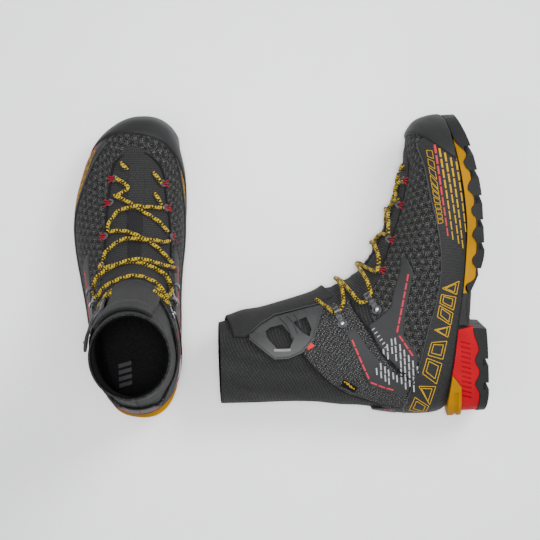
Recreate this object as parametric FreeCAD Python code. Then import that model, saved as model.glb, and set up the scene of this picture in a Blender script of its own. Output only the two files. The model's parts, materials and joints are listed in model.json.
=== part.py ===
"""A pair of insulated mountaineering boots: the left one stands, the right one lies on its medial side.

Each boot is modelled once in its own frame: X forward from the back of the heel, Z up from the
ground plane, Y towards the medial side.  The left boot is the mirror image of the right one.
All lengths are in millimetres.
"""
import FreeCAD
import Part
import math
import os

from FreeCAD import Vector

# ---------------------------------------------------------------- driving dimensions
GAP = 0.35                    # clearance kept between neighbouring pieces
KNIT = (0.0, -1.5)            # outer and inner offset of the knitted upper from the boot's skin
SOCK = (-2.1, -3.3)           # gaiter sock, tongue, toe puff and heel counter
LINING = (-3.9, -5.4)         # insulated lining
OVERLAY = (GAP, 1.5)          # welded overlays and rand
CAP = (GAP, 2.6)              # rubber toe cap
FLAP = (GAP, 1.9)             # front closure flap of the gaiter
TAB = (2.3, 4.3)              # moulded pull tab on the flap

PIVOT = (58.0, 90.0)          # ankle flex axis (x, z)
FOOT_FRONT, FOOT_REAR = 23.0, 196.5    # directions of the foot's upper edge from the pivot, degrees
CUFF_FRONT, CUFF_REAR = 36.0, 188.0    # directions of the cuff's lower edge from the pivot, degrees

HOOK_LIFT = 1.9               # the hooks' foot plates lie on the overlays
LUG_DEPTH = 6.0
TREAD_FLAT = 0.4              # the lugs are flat underneath up to this height
GROOVE = 7.0                  # width of the grooves between lugs
OUTSOLE_GROW = 1.5            # the sole stands proud of the upper
LACE_R = 2.0
LACE_HEIGHT = 4.1             # lace centre line above the skin
LACE_OVER = 10.5              # lace centre line where it passes over another lace
BOARD, FOOTBED = 2.0, 4.0     # thickness of the lasting board and of the footbed

LEFT_YAW = 3.0                # toe of the standing boot points this far outwards
LEFT_AT = (-127.0, -146.7)    # its heel on the floor
RIGHT_YAW = 3.4               # direction of the lying boot on the floor
RIGHT_AT = (217.6, -142.4)    # its heel on the floor
RIGHT_PITCH = 5.49            # the lying boot rests on the ball of the foot, the heel and the ankle
RIGHT_ROLL = 2.41

# Sections of the boot's skin, fanned round the instep.  Each row: front or top point (x, z), back or
# bottom point (x, z), sideways offset of the ridge, lateral and medial half width, squareness of the
# section at its top and at its bottom (1 is an ellipse), and taper.
SECTIONS = [
    (296.5, 17, 250, 13.0, 13, 37, 43.5, .78, .45, .30),
    (298.0, 31, 250, 12.0, 13, 37, 43.5, .78, .45, .30),
    (297.0, 45, 249, 11.5, 12, 37, 43, .80, .45, .30),
    (291.5, 58, 246, 11.0, 11, 39, 43.5, .82, .45, .24),
    (277.0, 67, 239, 10.0, 10, 45, 46, .85, .42, .16),
    (256.0, 69.5, 228, 9.0, 8.5, 50.5, 49, .85, .40, .12),
    (232.0, 75.5, 212, 8.0, 7, 56, 50, .85, .38, .10),
    (207.0, 84, 190, 7.5, 5.5, 59, 50, .88, .38, .10),
    (183.0, 95.5, 162, 8.0, 4.5, 58, 48.5, .92, .38, .10),
    (164.0, 106.5, 131, 10, 3.5, 54.5, 45, .95, .40, .10),
    (152.5, 116.5, 99, 13, 3, 51, 43, .95, .42, .08),
    (144.5, 127, 67, 17, 2.5, 48.5, 42.5, .95, .50, .05),
    (139.0, 137, 37, 23, 2, 46, 42, .92, .62, .02),
    (135.0, 147, 15, 34, 2, 44, 41.5, .90, .75, 0),
    (132.0, 157, 5.5, 52, 2, 42.5, 41.5, .88, .85, 0),
    (129.0, 168, 5.0, 77, 1.5, 41.5, 40.5, .88, .90, 0),
    (126.0, 180.5, 9.0, 103, 1.5, 42, 41, .90, .95, 0),
    (122.5, 195, 14.5, 130, 1, 42, 41.5, .92, .97, 0),
    (118.8, 211, 18.5, 160, 1, 41.5, 41.5, .95, 1, 0),
    (115.0, 228, 21, 193, 0, 41, 41, .97, 1, 0),
    (111.5, 246, 22.5, 229, 0, 40.5, 40.5, 1, 1, 0),
    (108.0, 264, 24, 266, 0, 40, 40, 1, 1, 0),
]
LAST = len(SECTIONS) - 1.0
SEAM = 0.0017                 # half the gap between two sewn halves, as a share of half the girth

# Outline of the sole seen from above, from the heel round the medial side to the toe and back.
SOLE_OUTLINE = [
    (4, 0), (10.7, 21.4), (33, 33.6), (78, 37.5), (126, 38.0), (168, 43.5), (199, 47.5), (228, 49.8),
    (250, 49.4), (270, 45.5), (286, 38.6), (296, 27.5), (298, 13), (294, -8), (282, -21.5), (266, -34),
    (246, -44.5), (222, -51.2), (196, -54.2), (160, -51.5), (115, -46.5), (75, -41.5), (35, -35),
    (12, -23),
]
# Joint line between upper and midsole, and the underside of the sole, as (x, z).
FEATHER = [(0, 45), (18, 41.6), (44, 36.6), (65, 32.7), (94, 28.4), (134, 21.6), (160, 18.8),
           (189, 16.3), (234, 17.6), (276, 22.7), (290, 26.0), (302, 31)]
TREAD = [(128, 15.2), (137.5, 10.2), (150, 4.6), (160.7, 1.3), (184.9, 0), (210, 0), (234.8, 1.4),
         (255.6, 4.3), (276, 8.3), (290, 13.3), (304, 20)]
LUG_GAPS = [158, 184, 207, 230, 253, 273]        # grooves across the forefoot
HEEL_GAPS = [34.5, 59.5]                         # grooves across the heel


# ---------------------------------------------------------------- the boot's skin
def catmull(a, b, c, d, t):
    return 0.5 * (2 * b + (c - a) * t + (2 * a - 5 * b + 4 * c - d) * t ** 2
                  + (3 * b - a - 3 * c + d) * t ** 3)


def section(u):
    """The section's numbers at a place u along the fan, from 0 at the toe to LAST at the top."""
    u = min(max(u, 0.0), LAST)
    i = min(int(u), int(LAST) - 1)
    rows = [SECTIONS[max(i - 1, 0)], SECTIONS[i], SECTIONS[i + 1], SECTIONS[min(i + 2, int(LAST))]]
    return [catmull(a, b, c, d, u - i) for a, b, c, d in zip(*rows)]


def on_base(u, v):
    """A point of the skin. v is 0 at the front ridge, 1 at the back, positive on the lateral side."""
    if v > 1:
        v -= 2
    front_x, front_z, back_x, back_z, ridge, lateral, medial, top, bottom, taper = section(u)
    angle = math.pi * abs(v)
    share = (1 - math.cos(angle)) / 2
    power = top * (1 - share) + bottom * share
    half = (lateral if v > 0 else medial) * max(math.sin(angle), 0.0) ** power
    half *= 1 - taper * math.cos(angle)
    y = ridge * (1 - share) ** 1.5 + (-half if v > 0 else half)
    return Vector(front_x + (back_x - front_x) * share, y, front_z + (back_z - front_z) * share)


def on_skin(u, v, offset):
    """A point at this distance outside the skin."""
    along = on_base(min(u + 0.05, LAST), v) - on_base(max(u - 0.05, 0), v)
    across = on_base(u, v + 0.01) - on_base(u, v - 0.01)
    normal = along.cross(across)
    normal.normalize()
    return on_base(u, v) + normal * offset


def place(x, z, side):
    """(u, v) of the skin's point that is seen at (x, z) from the side.
    side is L or M, or F on the front ridge, or B on the back seam. FL, FM, BL and BM are just
    beside the ridge or the seam, where two halves are sewn together."""
    if side[0] in "FB":
        k = 0 if side[0] == "F" else 2
        steps = [i * LAST / 400 for i in range(401)]
        rows = [section(u) for u in steps]
        near = min(range(401), key=lambda i: (rows[i][k] - x) ** 2 + (rows[i][k + 1] - z) ** 2)
        v = {"F": 0.0, "B": 1.0, "FL": SEAM, "FM": -SEAM, "BL": 1 - SEAM, "BM": SEAM - 1}[side]
        return steps[near], v

    def turn(u):
        fx, fz, bx, bz = section(u)[:4]
        return (bx - fx) * (z - fz) - (bz - fz) * (x - fx)
    steps = [i * LAST / 200 for i in range(201)]
    low, high = steps[0], steps[-1]
    for a, b in zip(steps, steps[1:]):
        if turn(a) * turn(b) <= 0:
            low, high = a, b
            break
    for _ in range(30):
        mid = (low + high) / 2
        if turn(low) * turn(mid) <= 0:
            high = mid
        else:
            low = mid
    fx, fz, bx, bz = section(low)[:4]
    share = ((x - fx) * (bx - fx) + (z - fz) * (bz - fz)) / ((bx - fx) ** 2 + (bz - fz) ** 2)
    v = math.acos(1 - 2 * min(max(share, 0.0), 1.0)) / math.pi
    return low, v if side == "L" else -v


def smooth(values, knots, t):
    """The value at t of a smooth line through values at knots."""
    i = max(k for k in range(len(knots) - 1) if knots[k] <= t + 1e-12)
    width = knots[i + 1] - knots[i]
    step = (t - knots[i]) / width

    def slope(k):
        a, b = max(k - 1, 0), min(k + 1, len(knots) - 1)
        return (values[b] - values[a]) / (knots[b] - knots[a])
    h1 = 2 * step ** 3 - 3 * step ** 2 + 1
    h2 = step ** 3 - 2 * step ** 2 + step
    h3 = -2 * step ** 3 + 3 * step ** 2
    h4 = step ** 3 - step ** 2
    return (values[i] * h1 + slope(i) * width * h2 + values[i + 1] * h3
            + slope(i + 1) * width * h4)


def rail(points, round_back=False):
    """A function of t from 0 to 1 along a smooth line on the skin through points (x, z, side)."""
    spots = [place(*p) for p in points]
    if round_back:
        spots = [(u, v + 2 if v < 0 else v) for u, v in spots]
    where = [on_base(u, v) for u, v in spots]
    knots = [0.0]
    for a, b in zip(where, where[1:]):
        knots.append(knots[-1] + max(a.distanceToPoint(b), 0.5))
    knots = [k / knots[-1] for k in knots]

    def at(t):
        return smooth([s[0] for s in spots], knots, t), smooth([s[1] for s in spots], knots, t)
    return at


# ---------------------------------------------------------------- building blocks
SAME_WAY = 1                  # both edges of a ruled face run the same way


def surface(points):
    made = Part.BSplineSurface()
    made.interpolate(points)
    return made.toShape()


def closed(outer, inner):
    """A solid between two surfaces given as grids of points."""
    a, b = surface(outer), surface(inner)
    faces = [a, b] + [Part.makeRuledSurface(p, q, SAME_WAY) for p, q in zip(a.Edges, b.Edges)]
    shell = Part.makeShell(faces)
    shell.sewShape()
    solid = Part.makeSolid(shell)
    if solid.Volume < 0:
        solid.reverse()
    return solid


def panel(low, high, layer, along=15, across=7):
    """A curved panel of the upper between two rails, filling a layer (outer, inner) of the skin."""
    grids = []
    for offset in layer:
        grid = []
        for i in range(along):
            a, b = low(i / (along - 1)), high(i / (along - 1))
            row = []
            for j in range(across):
                w = j / (across - 1)
                row.append(on_skin(a[0] + (b[0] - a[0]) * w, a[1] + (b[1] - a[1]) * w, offset))
            grid.append(row)
        grids.append(grid)
    return closed(*grids)


def both_sides(low, high, layer, along=15, across=7):
    """The lateral panel and its medial twin. The rails are (x, z) points, or (x, z, side)."""
    made = []
    for side in "LM":
        made.append(panel(one_side(low, side), one_side(high, side), layer, along, across))
    return made


def one_side(points, side):
    """A rail on one side of the boot. Points may add F or B where they lie at the front or back seam."""
    return rail([(p[0], p[1], (p[2] if len(p) > 2 else "") + side) for p in points])


def height(line, x):
    """z of a line of (x, z) points at x."""
    if x <= line[0][0]:
        return line[0][1]
    if x >= line[-1][0]:
        return line[-1][1]
    return smooth([p[1] for p in line], [p[0] for p in line], x)


def spline_edge(points):
    curve = Part.BSplineCurve()
    curve.interpolate([Vector(x, 0, z) for x, z in points])
    return curve.toShape()


def side_profile(top, bottom, half_width=70):
    """A slab with this outline seen from the side. top and bottom are lists of (x, z), toe last."""
    edges = [spline_edge(top) if len(top) > 2 else line_edge(*top)]
    edges.append(line_edge(top[-1], bottom[-1]))
    edges.append(spline_edge(bottom) if len(bottom) > 2 else line_edge(*bottom))
    edges.append(line_edge(bottom[0], top[0]))
    face = Part.Face(Part.Wire(Part.__sortEdges__(edges)))
    face.translate(Vector(0, -half_width, 0))
    return face.extrude(Vector(0, 2 * half_width, 0))


def line_edge(a, b):
    return Part.LineSegment(Vector(a[0], 0, a[1]), Vector(b[0], 0, b[1])).toShape()


def polygon_slab(points, low=-70, high=70):
    """A slab along Y with this polygon of (x, z) points."""
    corners = [Vector(x, low, z) for x, z in points]
    face = Part.Face(Part.makePolygon(corners + corners[:1]))
    return face.extrude(Vector(0, high - low, 0))


def sole_prism(grow, low=-5, high=100):
    """The sole's outline, grown by this much, as a tall prism."""
    count = len(SOLE_OUTLINE)
    points = []
    for i, (x, y) in enumerate(SOLE_OUTLINE):
        ax, ay = SOLE_OUTLINE[i - 1]
        bx, by = SOLE_OUTLINE[(i + 1) % count]
        size = math.hypot(bx - ax, by - ay)
        points.append(Vector(x - grow * (by - ay) / size, y + grow * (bx - ax) / size, low))
    curve = Part.BSplineCurve()
    curve.interpolate(points, PeriodicFlag=True)
    return Part.Face(Part.Wire(curve.toShape())).extrude(Vector(0, 0, high - low))


def ray(angle, radius, lift):
    """A point (x, z) this far from the ankle axis in this direction."""
    a = math.radians(angle)
    return (PIVOT[0] + radius * math.cos(a), PIVOT[1] + lift + radius * math.sin(a))


# ---------------------------------------------------------------- the upper's outlines
def feather(x, lift=0.4):
    return (x, height(FEATHER, x) + lift)


FOOT_EDGE = [ray(FOOT_REAR, 53, -0.6), ray(FOOT_REAR, 28, -0.6), (PIVOT[0], PIVOT[1] - 0.6),
             ray(FOOT_FRONT, 32, -0.6), ray(FOOT_FRONT, 60, -0.6)]
CUFF_EDGE = [ray(CUFF_REAR, 53, 0.6), ray(CUFF_REAR, 28, 0.6), (PIVOT[0], PIVOT[1] + 0.6),
             ray(CUFF_FRONT, 32, 0.6), ray(CUFF_FRONT, 62, 0.6), ray(CUFF_FRONT, 80, 0.6)]
THROAT = [(121.5, 115.0), (147, 96.5), (179, 84.5), (214, 74.5), (239, 69.5), (254, 67.3)]
TOE_TIP = (298.3, 31.0)
THROAT_FRONT = (263, 68.9)


def lower_edge(xs, lift):
    return [feather(x, lift) for x in xs]


def around_toe(points, tip):
    """Side points towards the toe, the ridge point, and the same on the medial side."""
    there = [(x, z, "L") for x, z in points]
    return there + [(tip[0], tip[1], "F")] + [(x, z, "M") for x, z, _ in reversed(there)]


def vamp_shell(layer, lift):
    """The upper's front part, from the instep round the toe to the other instep."""
    low = rail(around_toe(lower_edge([170, 200, 234, 262, 284, 294], lift),
                          (TOE_TIP[0], TOE_TIP[1] + lift)))
    high = rail(around_toe(THROAT, THROAT_FRONT))
    return panel(low, high, layer, 49, 13)


def quarter_shells(layer, lift):
    """The upper's two sides, from the heel seam to the instep."""
    low = [(5.8, 44 + lift, "B"), feather(10, lift + .5)] + lower_edge([30, 60, 94, 134, 169.5], lift)
    high = [FOOT_EDGE[0][:2] + ("B",)] + FOOT_EDGE[1:] + [(121.2, 115.0)]
    return both_sides(low, high, layer, 29, 11)


def cuff_tube(layer, top_z):
    """The two halves of the shaft, sewn at the front and at the back."""
    low = [CUFF_EDGE[0] + ("B",)] + CUFF_EDGE[1:5] + [(134.6, 148.0, "F")]
    high = [(24, top_z, "B"), (40, top_z), (66, top_z), (92, top_z), (108, top_z, "F")]
    return both_sides(low, high, layer, 25, 17)


# ---------------------------------------------------------------- sole unit
def grooves(xs, tread, tilt):
    """Cutters for the grooves across the tread, slanted towards the toe at both edges."""
    cutters = []
    for x in xs:
        z = height(tread, x) + LUG_DEPTH
        for side in (-1, 1):
            slot = Part.makeBox(GROOVE, 60, 30, Vector(-GROOVE / 2, 12, -30))
            slot.rotate(Vector(0, 0, 0), Vector(0, 0, 1), tilt)
            if side < 0:
                slot = slot.mirror(Vector(0, 0, 0), Vector(0, 1, 0))
            slot.translate(Vector(x + 1.5, 0, z))
            cutters.append(slot)
        middle = Part.makeBox(GROOVE * 0.8, 19, 30, Vector(-GROOVE * 0.4, -9.5, -30))
        middle.translate(Vector(x + 8, 0, z))
        cutters.append(middle)
    return cutters


def long_grooves(tread, x0, x1, ys):
    """Cutters for grooves that run along the sole at the given y."""
    line = [(x, height(tread, x)) for x in (x0, (2 * x0 + x1) / 3, (x0 + 2 * x1) / 3, x1)]
    made = []
    for y in ys:
        slab = side_profile([(x, z + LUG_DEPTH) for x, z in line], [(x, z - 12) for x, z in line], 1.9)
        slab.translate(Vector(0, y, 0))
        made.append(slab)
    return made


def scallop(x):
    """Height of the wavy joint between tread and midsole under the forefoot."""
    high = [(134, 14.5), (158, 12.8), (184, 11.5), (207, 11.3), (230, 13.3), (253, 14.9), (273, 18.5)]
    wave = min(abs(x - g) for g in LUG_GAPS + [134])
    return height(high, x) - 4.0 * min(1.0, max(0.0, (wave - 2.5) / 5.0))


def forefoot_joint(lift):
    """Wavy joint between the tread and the midsole, which ends under the toe."""
    xs = [140 + 3.5 * i for i in range(36)]
    line = [(136, 17.5 + lift)] + [(x, scallop(x) + lift) for x in xs]
    return line + [(269, 16.6 + lift), (276.5, 22.1 + lift)]


def ground():
    """Everything under the flat part of the lugs."""
    return polygon_slab([(-10, -10), (310, -10), (310, TREAD_FLAT), (-10, TREAD_FLAT)])


def outsole_forefoot():
    top = [(129, 18.6)] + forefoot_joint(-GAP / 2) + [feather(x, 0) for x in (283, 292, 304)]
    body = side_profile(top, TREAD).common(sole_prism(OUTSOLE_GROW))
    cutters = grooves(LUG_GAPS, TREAD, 14)
    cutters += long_grooves(TREAD, 142, 290, (-12, 12))
    return body.cut(Part.makeCompound(cutters)).cut(ground())


def midsole():
    """The foam wedge under the foot; its rear half carries the heel."""
    top = [feather(x, 0) for x in (126, 150, 170, 189, 212, 234, 255, 276.5)]
    bottom = [(126, 19.0)] + forefoot_joint(GAP / 2)
    return side_profile(top, bottom).common(sole_prism(0))


HEEL_TREAD = [(2, 4.2), (12, 1.6), (29.6, 0), (50, 0), (66, 0.2), (91, 1.2)]


def heel_joint(lift):
    """Wavy joint between the heel block and its tread."""
    low = [(1, 11.8), (14, 10.2), (26, 10.5), (34, 13.8), (42, 10.2), (49, 9.9), (58, 13.4), (66.5, 10),
           (80, 12.3), (94, 13.5)]
    return [(x, z + lift) for x, z in low]


def outsole_heel():
    body = side_profile(heel_joint(-GAP / 2), HEEL_TREAD).common(sole_prism(OUTSOLE_GROW))
    front = polygon_slab([(88.5, -5), (100, -5), (100, 20), (91.5, 20)])
    cutters = grooves(HEEL_GAPS, HEEL_TREAD, 8)
    cutters += long_grooves(HEEL_TREAD, 14, 92, (0,))
    return body.cut(Part.makeCompound(cutters + [front])).cut(ground())


CLIP = [(43.6, 36.4), (31.6, 28.0), (-4, 28.0), (-4, 39.6), (4, 40.2), (10, 41.8), (18.2, 41.0)]
CLIP_WIDTH = 9.0              # the clip is a band round the heel, this wide


def heel_block():
    """The shock-absorbing heel block, with slanted ribs moulded into both sides."""
    top = [feather(x, 0) for x in (1, 18, 32, 44, 60, 76, 94)]
    body = side_profile(top, heel_joint(GAP / 2)).common(sole_prism(0.6))
    body = body.cut(polygon_slab([(88, 40), (93, 10), (110, 10), (110, 40)]))
    seat = polygon_slab([(44.6, 37.0), (31.8, 27.6), (-6, 27.6), (-6, 60), (44.6, 60)])
    body = body.cut(seat.cut(sole_prism(-CLIP_WIDTH - GAP)))
    ribs = []
    for i in range(12):
        x = 19 + 5.0 * i
        ribs.append(polygon_slab([(x, 18), (x + 1.6, 18), (x + 4.6, 27.2), (x + 3.0, 27.2)]))
    skin = sole_prism(2).cut(sole_prism(-0.5))
    return body.cut(Part.makeCompound(ribs).common(skin))


def heel_clip():
    """Stiff heel welt whose ledge takes a crampon's heel lever."""
    back = Vector(-2.8, 0, 0)
    body = polygon_slab(CLIP).common(sole_prism(2.2).translated(back)).cut(sole_prism(-CLIP_WIDTH))
    notch = polygon_slab([(-6, 31.2), (-6, 35), (26, 35), (26, 31.2)])
    return body.cut(sole_prism(6).cut(sole_prism(0.9)).translated(back).common(notch))


def arch_shank():
    """Stiff shank and its shell, which bridge the arch between forefoot and heel."""
    top = [feather(x, 0) for x in (94.3, 108, 125.6)]
    under = [(93.6, 18.4), (98, 20.0), (108, 21.2), (118, 20.4), (125.6, 17.2)]
    return side_profile(top, under).common(sole_prism(-1.2))


def inside_prism(offset, lift):
    """A tall prism whose outline is the upper's inside, this far above the joint line."""
    xs = (30, 60, 94, 134, 170, 200, 234, 262, 284)
    spots = [place(5.8, feather(8, lift)[1], "B")]
    spots += [place(*feather(x, lift), "M") for x in xs]
    spots += [place(TOE_TIP[0], TOE_TIP[1] + lift, "F")]
    spots += [place(*feather(x, lift), "L") for x in reversed(xs)]
    points = [on_skin(u, v, offset) for u, v in spots]
    curve = Part.BSplineCurve()
    curve.interpolate([Vector(p.x, p.y, 0) for p in points], PeriodicFlag=True)
    return Part.Face(Part.Wire(curve.toShape())).extrude(Vector(0, 0, 100))


def plate(offset, low, high):
    """A layer of the insole, between two heights above the joint line."""
    xs = (2, 10, 18, 24, 44, 94, 134, 170, 200, 234, 262, 300)
    top = [(x, height(FEATHER, max(x, 8)) + high) for x in xs]
    bottom = [(x, height(FEATHER, max(x, 8)) + low) for x in xs]
    return side_profile(top, bottom).common(inside_prism(offset, low))


# ---------------------------------------------------------------- details of the upper
def toe_cap():
    lateral = [feather(x, 2.6) + ("L",) for x in (256, 270, 280, 290)]
    medial = [feather(x, 2.6) + ("M",) for x in (290, 280, 270, 250, 225, 200, 172)]
    low = rail(lateral + [(TOE_TIP[0], 33.0, "F")] + medial)
    high = rail([(258.5, 25, "L"), (267, 35.5, "L"), (277, 45.5, "L"), (284, 56.5, "L"), (281, 66.3, "F"),
                 (268, 62, "M"), (248, 51, "M"), (215, 37, "M"), (174, 30, "M")])
    return panel(low, high, CAP, 49, 11)


def rand_panels():
    """Smooth wear panels above the sole on both sides."""
    low = [(5.6, 55.5, "B"), feather(14, 6)] + lower_edge([44, 94, 134, 175, 215, 252], 2.0)
    high = [(6, 72.5, "B"), (31, 73), (54, 70.9), (70, 66), (104.5, 56.5), (135.5, 48.9), (168, 43.2),
            (190, 45.7), (212, 51), (238, 54), (266, 43)]
    lateral = panel(one_side(low, "L"), one_side(high, "L"), OVERLAY, 33, 9)
    low_medial = low[:5] + [feather(168.5, 2.0)]
    high_medial = high[:6] + [(170.5, 43.0)]
    return [lateral, panel(one_side(low_medial, "M"), one_side(high_medial, "M"), OVERLAY, 29, 9)]


def toe_puff():
    low = rail(around_toe([feather(242, 9), feather(262, 9), feather(286, 9)], (TOE_TIP[0], 41)))
    high = rail(around_toe([(248, 55), (262, 58), (272, 61)], (277, 66.9)))
    return panel(low, high, SOCK, 33, 9)


def heel_counter():
    low = rail([(74, 41, "L"), (40, 46, "L"), (6, 53, "B"), (40, 46, "M"), (74, 41, "M")], True)
    high = rail([(70, 62, "L"), (38, 70, "L"), (5.5, 73, "B"), (38, 70, "M"), (70, 62, "M")], True)
    return panel(low, high, SOCK, 25, 9)


def lower_overlays():
    """Support straps from the instep down to the heel, on both sides."""
    front = [(139, 86), (124, 81), (105, 76.5), (84, 76.0), (64, 82.8)]
    back = [(135, 94.5), (118, 107.5), (103, 107.5), (84, 99.6), (62, 90.2)]
    return both_sides(back, front, OVERLAY, 15, 5)


def cuff_overlays():
    low = [(66, 98.5), (82, 109.5), (99, 122.0), (112, 131.4)]
    high = [(52, 118), (74, 139), (96, 149), (106, 147)]
    return both_sides(low, high, OVERLAY, 11, 5)


def tongue():
    low = rail([(121.5, 113.6, "L"), (134, 120.0, "L"), (144.3, 125.8, "F"), (134, 120.0, "M"), (121.5, 113.6, "M")])
    high = rail([(262, 60, "L"), (264, 66, "L"), (268, 68.2, "F"), (264, 66, "M"), (262, 60, "M")])
    return panel(low, high, SOCK, 25, 29)


def tongue_keeper():
    """The ladder-shaped strap along the middle of the tongue."""
    strap = panel(rail([(164, 104.3, "L"), (164.5, 106.3, "F"), (164, 104.3, "M")]),
                  rail([(232, 74, "L"), (232, 75.5, "F"), (232, 74, "M")]), (-0.3, -1.6), 9, 15)
    windows = [Part.makeBox(9, 8, 60, Vector(176 + 18 * i, 1.6, 60)) for i in range(3)]
    return strap.cut(Part.makeCompound(windows))


def upper_tongue():
    low = rail([(124.5, 141.5, "L"), (131, 146, "L"), (134.8, 148.6, "F"), (131, 146, "M"), (124.5, 141.5, "M")])
    high = rail([(110, 182, "L"), (120, 186, "L"), (124.3, 187, "F"), (120, 186, "M"), (110, 182, "M")])
    return panel(low, high, KNIT, 13, 9)


def cuff_wings():
    """Knitted wings of the cuff, which hook over the shaft from both sides."""
    low = [(14, 85.0)] + CUFF_EDGE[1:4] + [ray(CUFF_FRONT, 60, 0.6), (122.5, 139.6)]
    high = [(14.2, 90), (20, 112), (33, 139), (53, 164), (76, 181), (92, 174), (107.5, 165)]
    return both_sides(low, high, KNIT, 17, 9)


LOOP_SPOTS = [(241, 66.5), (216, 71.5), (181, 81), (149, 92)]
HOOKS = {"lower": ((114, 107.5), (126, 113.5)), "upper": ((101.4, 142.5), (112, 147.0))}


def skin_frame(x, z, side, offset):
    """A point above the skin and the outward direction there."""
    u, v = place(x, z, side)
    at, out = on_skin(u, v, offset), on_skin(u, v, offset + 1)
    return at, out - at


def lace_loops():
    """Webbing loops along both edges of the throat."""
    made = []
    for side in "LM":
        for x, z in LOOP_SPOTS:
            low = rail([(x - 4, z - 9, side), (x + 4, z - 10, side)])
            high = rail([(x - 4, z + 1.0, side), (x + 4, z - 1.2, side)])
            made.append(panel(low, high, (0.4, 1.6), 4, 4))
    return made


def hook(rivet, tip, side):
    """A riveted speed hook: foot plate, rivet head and the curl that the lace runs in."""
    at, out = skin_frame(rivet[0], rivet[1], side, HOOK_LIFT)
    end, _ = skin_frame(tip[0], tip[1], side, HOOK_LIFT)
    ahead = (end - at) - out * (end - at).dot(out)
    length = ahead.Length
    ahead.normalize()
    plate_at = Part.makeCylinder(4.6, 1.2)
    bar = Part.makeBox(length, 5.6, 1.2, Vector(0, -2.8, 0))
    head = Part.makeCylinder(2.8, 1.1, Vector(0, 0, 1.2)).fuse(Part.makeCone(2.8, 1.4, 0.8, Vector(0, 0, 2.3)))
    curl = Part.makeCylinder(4.6, 5.6, Vector(length, -2.8, 4.6), Vector(0, 1, 0))
    curl = curl.cut(Part.makeCylinder(3.4, 7, Vector(length, -3.5, 4.6), Vector(0, 1, 0)))
    curl = curl.cut(Part.makeBox(12, 8, 5.4, Vector(length - 12, -4, 2.0)))
    made = plate_at.fuse([bar, head, curl]).removeSplitter()
    turn = FreeCAD.Matrix()
    across = out.cross(ahead)
    turn.A11, turn.A21, turn.A31 = ahead.x, ahead.y, ahead.z
    turn.A12, turn.A22, turn.A32 = across.x, across.y, across.z
    turn.A13, turn.A23, turn.A33 = out.x, out.y, out.z
    made.Placement = FreeCAD.Placement(turn)
    made.translate(at)
    return made


def hooks(which):
    rivet, tip = HOOKS[which]
    return [hook(rivet, tip, side) for side in "LM"]


def tube(points, radius):
    """A round cord along straight runs joined by tangent arcs."""
    edges = []
    start = points[0]
    for before, corner, after in zip(points, points[1:], points[2:]):
        back, ahead = before - corner, after - corner
        shorter = min(back.Length, ahead.Length)
        back.normalize()
        ahead.normalize()
        cut = 0.45 * shorter
        a, b = corner + back * cut, corner + ahead * cut
        half = back.getAngle(ahead) / 2
        bisect = back + ahead
        bisect.normalize()
        radius_here = cut * math.tan(half)
        centre = corner + bisect * (cut / math.cos(half))
        middle = centre - bisect * radius_here
        edges.append(Part.LineSegment(start, a).toShape())
        edges.append(Part.Arc(a, middle, b).toShape())
        start = b
    edges.append(Part.LineSegment(start, points[-1]).toShape())
    path = Part.Wire(edges)
    ring = Part.Wire(Part.makeCircle(radius, points[0], path.Edges[0].tangentAt(path.Edges[0].FirstParameter)))
    return path.makePipeShell([ring], True, False)


def lace_run(start, end, over):
    """One lace run across the throat between two places (x, z, side)."""
    (u0, v0), (u1, v1) = place(*start), place(*end)
    rise = LACE_OVER - LACE_HEIGHT if over else 0.0
    heights = [LACE_HEIGHT, LACE_HEIGHT + 0.4 + 0.5 * rise, LACE_HEIGHT + rise, LACE_HEIGHT + 0.4 + 0.5 * rise,
               LACE_HEIGHT]
    points = []
    for i, h in enumerate(heights):
        w = i / 4
        points.append(on_skin(u0 + (u1 - u0) * w, v0 + (v1 - v0) * w, h))
    return tube(points, LACE_R)


def lace_lower():
    """The lace through the webbing loops, crossing over itself up the instep."""
    spots = [(x + 1, z - 1.0) for x, z in LOOP_SPOTS] + [(131.0, 110.5)]
    made = []
    for i in range(1, 4):
        (x0, z0), (x1, z1) = spots[i], spots[i + 1]
        made.append(lace_run((x0 - 5, z0 + 1.6, "L"), (x1 + 3, z1, "M"), False))
        made.append(lace_run((x0 - 5, z0 + 1.6, "M"), (x1 + 3, z1, "L"), True))
    for side in "LM":
        (x0, z0), (x1, z1) = spots[0], spots[1]
        made.append(lace_run((x0 - 5, z0 + 1.4, side), (x1 + 3, z1, side), False))
    return made


def lace_upper():
    """The lace between the upper hooks, under the flap's lower edge."""
    return [lace_run((116.5, 148.6, "L"), (116.5, 148.6, "M"), False)]


# ---------------------------------------------------------------- gaiter closure
FLAP_LATERAL = [(120, 166), (116, 186), (109, 210), (97, 234)]
FLAP_MEDIAL = [(117, 166), (113, 186), (109, 212), (104, 246)]
TAB_OUTLINE = [(96, 235.0), (104, 224), (111.8, 208.4), (121, 162.0), (118, 160.5), (95, 169.7), (88.6, 171.9),
               (76.3, 184.7), (71.6, 198), (71.5, 211.8), (78.4, 219.8), (92.3, 235.6)]
TAB_WINDOWS = [[(99, 219), (102.5, 213.5), (104.5, 202), (90.8, 191.6), (81.5, 196.2), (81.8, 209), (93, 218)],
               [(106, 191.5), (110.5, 177.7), (98.7, 173.5), (92, 176), (96, 183)]]


def gaiter_flap():
    low = rail([(x, z, "L") for x, z in FLAP_LATERAL])
    high = rail([(x, z, "M") for x, z in FLAP_MEDIAL])
    return panel(low, high, FLAP, 13, 11)


def pull_tab():
    low = rail([(122.5, 157, "L"), (119, 185, "L"), (112.5, 212, "L"), (100, 240, "L")])
    high = rail([(84, 160, "L"), (66, 188, "L"), (66, 215, "L"), (88, 244, "L")])
    body = panel(low, high, TAB, 13, 11).common(polygon_slab(TAB_OUTLINE))
    return body.cut(Part.makeCompound([polygon_slab(w) for w in TAB_WINDOWS]))


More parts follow.
